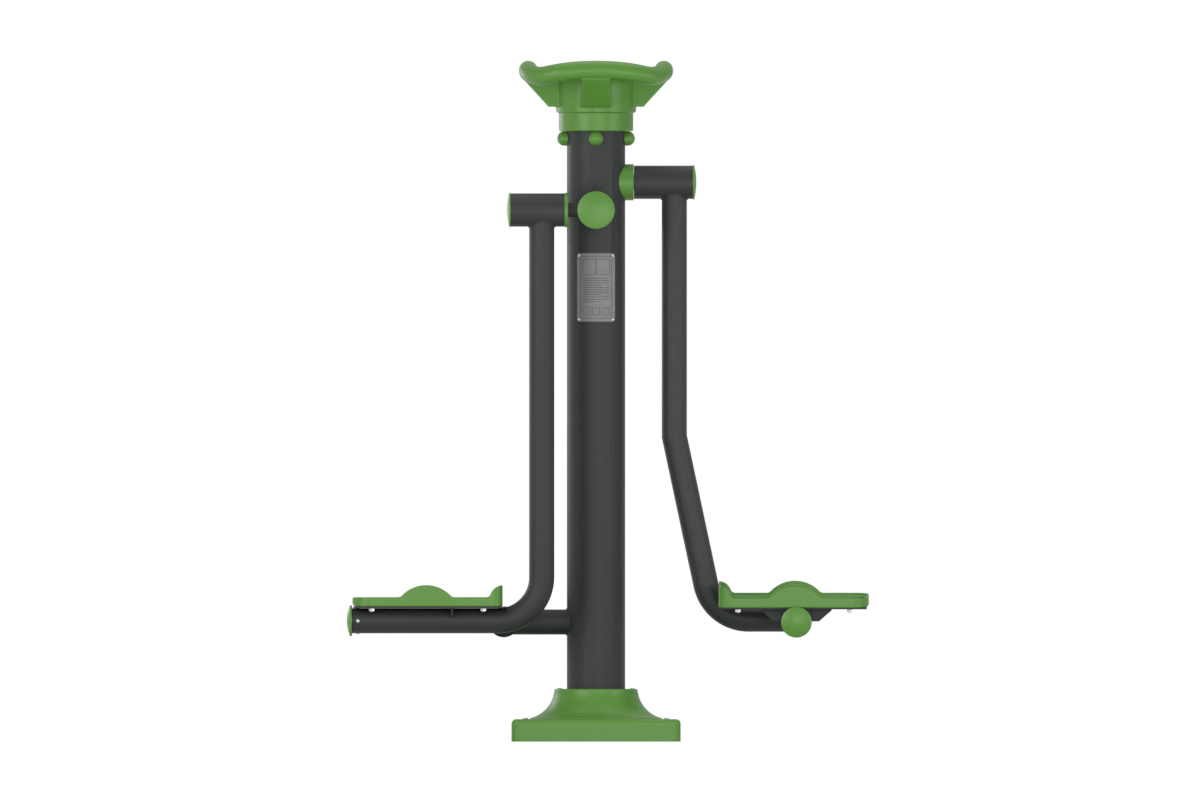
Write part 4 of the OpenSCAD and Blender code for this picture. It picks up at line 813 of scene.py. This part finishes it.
# %% Screws of the three pendulums
seat_gap, foot_plate_thick = 0.2, 4.0
walker_pedal_x, swing_pedal_x, swing_pedal_y = -404.5, 474.6, 99.5
for side, name in left_pair:
    top = walker_foot_z + tube_radius + seat_gap + foot_plate_thick
    screws = pedal_bolts(Matrix.Translation((walker_pedal_x, side * walker_y, top)))
    screws += cap_screws((-walker_foot_end, side * walker_y, walker_foot_z), (1, 0, 0))
    add_piece(name + "_walker_screws", joined(*screws), zinc, name + "_walker",
              (name + "_fasteners",))
screws = []
for side in (-1, 1):
    top = swing_foot_z + tube_radius + seat_gap + foot_plate_thick
    screws += pedal_bolts(lean @ Matrix.Translation((swing_pedal_x, side * swing_pedal_y, top)))
    tube_end = (cross_tube_x, side * cross_tube_half, swing_foot_z)
    screws += [placed(shape, lean) for shape in cap_screws(tube_end, (0, -side, 0))]
add_piece("side_swing_screws", joined(*screws), zinc, "side_swing", ("swing_fasteners",))

# %% Cover screws
foot_screw = button_bolt(head=15, rise=3.2, shank=6, length=50.8, socket=4, depth=1.6, thread=5)
collar_screw = button_bolt(head=12, rise=2.4, shank=6, length=8.0, socket=4, depth=1.4, thread=5)
foot_screw_xy, foot_screw_z = 169.0, 53.8
collar_screw_x, collar_screw_y, collar_screw_z = 87.0, 8.5, 126.5
screws = []
for sx in (-1, 1):
    for sy in (-1, 1):
        spot = (sx * foot_screw_xy, sy * foot_screw_xy, foot_screw_z)
        screws.append(placed(foot_screw, Matrix.Translation(spot)))
    spot = (sx * collar_screw_x, collar_screw_y, collar_screw_z)
    screws.append(placed(collar_screw, Matrix.Translation(spot)))
add_piece("cover_screw_set", joined(*screws), zinc, "stand", ("cover_screws",))

# %% The plate's rivets
def rivet(head, rise, shank, length):
    rim = 0.25
    profile = [(axis_radius, -length), (shank / 2, -length), (shank / 2, 0), (head / 2, 0),
               (head / 2, rim)]
    for a in (math.pi / 2 * k / 10 for k in range(1, 10)):
        profile.append((head / 2 * math.cos(a), rim + (rise - rim) * math.sin(a)))
    return turned(profile + [(axis_radius, rise)], 40)


sheet_gap, sheet_thick = 0.2, 1.5
plate_wide, plate_high, plate_middle_z, rivet_inset = 91.0, 164.0, 1090.0, 5.2
plate_radius = post_radius + sheet_gap + sheet_thick
rivet_turn = math.asin((plate_wide / 2 - rivet_inset) / (post_radius + sheet_thick))
rivets = []
for sx in (-1, 1):
    for sz in (-1, 1):
        angle = -math.pi / 2 + sx * rivet_turn
        out = (math.cos(angle), math.sin(angle), 0)
        up = plate_middle_z + sz * (plate_high / 2 - rivet_inset)
        spot = Vector(out) * plate_radius + Vector((0, 0, up))
        rivets.append(placed(rivet(head=6.4, rise=1.6, shank=3.9, length=7.0), facing(spot, out)))
add_piece("plate_rivet_heads", joined(*rivets), zinc, "stand", ("plate_rivets",))

# %% [markdown]
# ## Information plate
# The plate is a brushed aluminium sheet bent round the post, with an embossed border,
# panels and rules. The lines could be a pattern in the material, but then the mesh alone
# wouldn't have them. So each raised line is a thin strip that follows the same bend.

# %% Helper: a rectangle with round corners, bent round the post
column_width = 2.5


def bent_strip(width, height, corner, middle_z, inner, outer, middle_x=0.0):
    """Strip between two radii from the post's axis, given by its size and its middle."""
    columns = max(2, int(width / column_width))
    sections = []
    for i in range(columns + 1):
        x = -width / 2 + width * i / columns
        away = abs(x) - (width / 2 - corner)
        drop = corner - math.sqrt(max(corner ** 2 - away ** 2, 0)) if away > 0 and corner else 0
        half = height / 2 - drop
        angle = -math.pi / 2 + math.asin((x + middle_x) / plate_radius)
        sections.append([
            (radius * math.cos(angle), radius * math.sin(angle), middle_z + z)
            for radius, z in ((inner, -half), (outer, -half), (outer, half), (inner, half))])
    return loft(sections)


print("columns across the plate:", int(plate_wide / column_width))

# %% The bent sheet
plate_corner = 5.0
sheet = bent_strip(plate_wide, plate_high, plate_corner, plate_middle_z,
                   post_radius + sheet_gap, plate_radius)
add_piece("bare_plate", sheet, plate_metal, "stand", ("info_plate",))

# %% Helpers: a raised line, and a frame of four
line_root, frame_rise, rule_rise = 0.1, 0.22, 0.18
raised = []


def raise_line(width, height, middle_x, middle_z, rise=frame_rise):
    raised.append(bent_strip(width, height, 0, middle_z, plate_radius - line_root,
                             plate_radius + rise, middle_x))


def raise_frame(width, height, middle_x, middle_z, line=0.9):
    """Four lines round a rectangle, given by its outer size and its middle."""
    for side in (-1, 1):
        raise_line(width, line, middle_x, middle_z + side * (height - line) / 2)
        raise_line(line, height - 2 * line, middle_x + side * (width - line) / 2, middle_z)


print("line helpers ready")

# %% Border, two panels, eleven rules and three squares
panel_x, panel_z, square_x, square_z = 17.0, 1139.0, 23.0, 1033.0
rule_long, rule_line, rule_pitch, first_rule_z = 64.0, 1.3, 5.6, 1112.0
short_rules, shorter_by = (3, 7, 10), 20.0
raise_frame(76.0, 150.0, 0.0, plate_middle_z)
for x in (-panel_x, panel_x):
    raise_frame(32.0, 38.0, x, panel_z)
for row in range(11):
    short = shorter_by if row in short_rules else 0.0
    raise_line(rule_long - short, rule_line, -short / 2, first_rule_z - row * rule_pitch, rule_rise)
for x in (-square_x, 0.0, square_x):
    raise_frame(18.0, 18.0, x, square_z, line=0.8)
print("plate lines:", len(raised))

# %% Ink of the plate's lines
plate_ink = finish_material(
    "plate_ink", colour=(0.05, 0.052, 0.053), worn_and_highlit=(0.2, 0.2, 0.2), wear_and_highlight=0.3,
    drift=0.08, dust=0.02, roughness=0.5, change=0.1, depth=0.00002, grains=900.0)
add_piece("plate_rules", joined(*raised), plate_ink, "stand")

# %% [markdown]
# ## Rubber buffers
# The two buffers stop the walkers from striking the bar. They are dark moulded rubber
# with a round face edge and grip grooves round the rim. A bump could draw the grooves, but
# the rim's outline would stay smooth. So the rim's radius is made to rise and fall along
# the angle, and the grooves are real.

# %% Buffers with grooved rims
buffer_radius, buffer_thick, plug_radius, plug_length = 37.0, 15.0, 26.6, 16.0
groove_count, groove_depth, rim_top, rim_round = 36, 1.1, 10.5, 3.8
stop_bar_x, stop_bar_end, stop_bar_z = -221.6, 45.0, 287.0


def grooved(radius, depth):
    """Radius as a function of the angle, with narrow grooves of that depth."""
    return lambda a: radius - depth * (0.5 - 0.5 * math.cos(groove_count * a)) ** 3


profile = [(axis_radius, -plug_length), (plug_radius - 1.5, -plug_length),
           (plug_radius, -plug_length + 1.5), (plug_radius, 0), (buffer_radius - 2.0, 0),
           (grooved(buffer_radius - 0.5, 0.4), 0.6), (grooved(buffer_radius, groove_depth), 2.0),
           (grooved(buffer_radius, groove_depth), rim_top)]
for share in (k / 8 for k in range(1, 9)):
    a = math.pi / 2 * share
    profile.append((grooved(buffer_radius - rim_round * (1 - math.cos(a)),
                            groove_depth * (1 - share)), rim_top + rim_round * math.sin(a)))
profile += [(buffer_radius - 9, 14.5), (buffer_radius - 11, buffer_thick), (12, buffer_thick),
            (11, 14.2), (axis_radius, 14.2)]
grooved_buffer = turned(profile, 8 * groove_count)
buffers = [placed(grooved_buffer, facing((stop_bar_x, side * stop_bar_end, stop_bar_z),
                                         (0, side, 0))) for side in (-1, 1)]
add_piece("grooved_buffers", joined(*buffers), black_rubber, "stand", ("stop_buffers",))

# %% [markdown]
# ## Seal rings
# A green ring closes the gap between each walker housing and the cross arm. Like the caps
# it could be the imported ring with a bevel, but its outer edge is far rounder on the inboard
# side than elsewhere. So it is turned from a profile with those radii.

# %% Seal rings at the two walker pivots
seal_plug, seal_width = 4.1, 13.2
seal_profile = rounded_line(
    [(31.7, 0, 0.4), (35.7, 0, 0.8), (35.7, seal_plug, 0), (41.3, seal_plug, 0.6),
     (41.3, seal_width, 3.4), (18.0, seal_width, 1.0), (18.0, seal_plug, 0.4),
     (31.7, seal_plug, 0)], closed=True)
for side, name in left_pair:
    place = (walker_pivot_x - seal_plug, side * walker_y, walker_pivot_z)
    ring = placed(turned(seal_profile, closed=True), facing(place, (1, 0, 0)))
    add_piece(name + "_soft_seal", ring, green_plastic, name + "_walker", (name + "_seal_ring",))

# %% [markdown]
# ## Weld beads
# Tubes are joined by fillet welds under the paint. A bead could be a smooth torus, but the
# tubes meet along a saddle-shaped curve. So it is a thin tube swept along that curve, with
# a ripple along its length from the welder's steps.

# %% Helper: rippled bead along a closed curve
bead_radius, ripple_share, ripple_step, bead_sides = 2.6, 0.09, 3.0, 10


def weld_bead(path):
    turns = [math.tau * k / bead_sides for k in range(bead_sides)]
    rings, side, travelled = [], None, 0.0
    for i, here in enumerate(path):
        ahead, behind = path[(i + 1) % len(path)], path[i - 1]
        travelled += (here - behind).length if i else 0.0
        heading = (ahead - behind).normalized()
        if side is None:
            side = heading.orthogonal().normalized()
        else:
            side = (side - heading * side.dot(heading)).normalized()
        up = heading.cross(side)
        swell = bead_radius * (1 + ripple_share * math.cos(math.tau * travelled / ripple_step))
        rings.append([here + side * (swell * math.cos(a)) + up * (swell * math.sin(a))
                      for a in turns])
    return loft(rings, closed_stack=True)


print("ripples on a bead round the foot tube:", round(math.tau * tube_radius / ripple_step))

# %% Helper: the curve where two tubes meet
curve_steps = 320


def saddle(small, big, place, branch, axis):
    """Curve where a tube of radius small, leaving place along branch, meets a big round."""
    branch, axis = Vector(branch).normalized(), Vector(axis).normalized()
    cross = branch.cross(axis)
    curve = []
    for k in range(curve_steps):
        a = math.tau * k / curve_steps
        across = small * math.cos(a)
        curve.append(Vector(place) + cross * across + axis * (small * math.sin(a))
                     + branch * math.sqrt(max(big * big - across * across, 0)))
    return curve


def leaned(curve):
    return [lean @ point for point in curve]


print("points of one curve:", curve_steps)

# %% Beads of the stand and the pendulums
along_x, along_y, along_z = (1, 0, 0), (0, 1, 0), (0, 0, 1)
left, down = (-1, 0, 0), (0, 0, -1)
# Where equal tubes meet, one counts as a little larger, so that the curve has no corners.
housing_radius, equal_tube = 40.0, tube_radius + 0.3
walker_tube_x, swing_tube_x = -130.4, 187.9
curves = [saddle(arm_radius, post_radius, (0, 0, walker_pivot_z), (0, side, 0), along_z)
          for side in (-1, 1)]
curves += [saddle(tube_radius, post_radius, (0, 0, stop_bar_z), left, along_z),
           saddle(tube_radius, equal_tube, (stop_bar_x, 0, stop_bar_z), along_x, along_y)]
add_piece("stand_welds", joined(*map(weld_bead, curves)), dark_coat, "stand")
for side, name in left_pair:
    curve = saddle(tube_radius, housing_radius, (walker_tube_x, side * walker_y, walker_pivot_z),
                   down, along_x)
    add_piece(name + "_housing_weld", weld_bead(curve), dark_coat, name + "_walker")
curves = [saddle(tube_radius, housing_radius, (swing_tube_x, 0, swing_pivot_z), down, along_x),
          saddle(tube_radius, equal_tube, (cross_tube_x, 0, swing_foot_z), left, along_y)]
add_piece("swing_welds", joined(*(weld_bead(leaned(curve)) for curve in curves)), dark_coat,
          "side_swing")
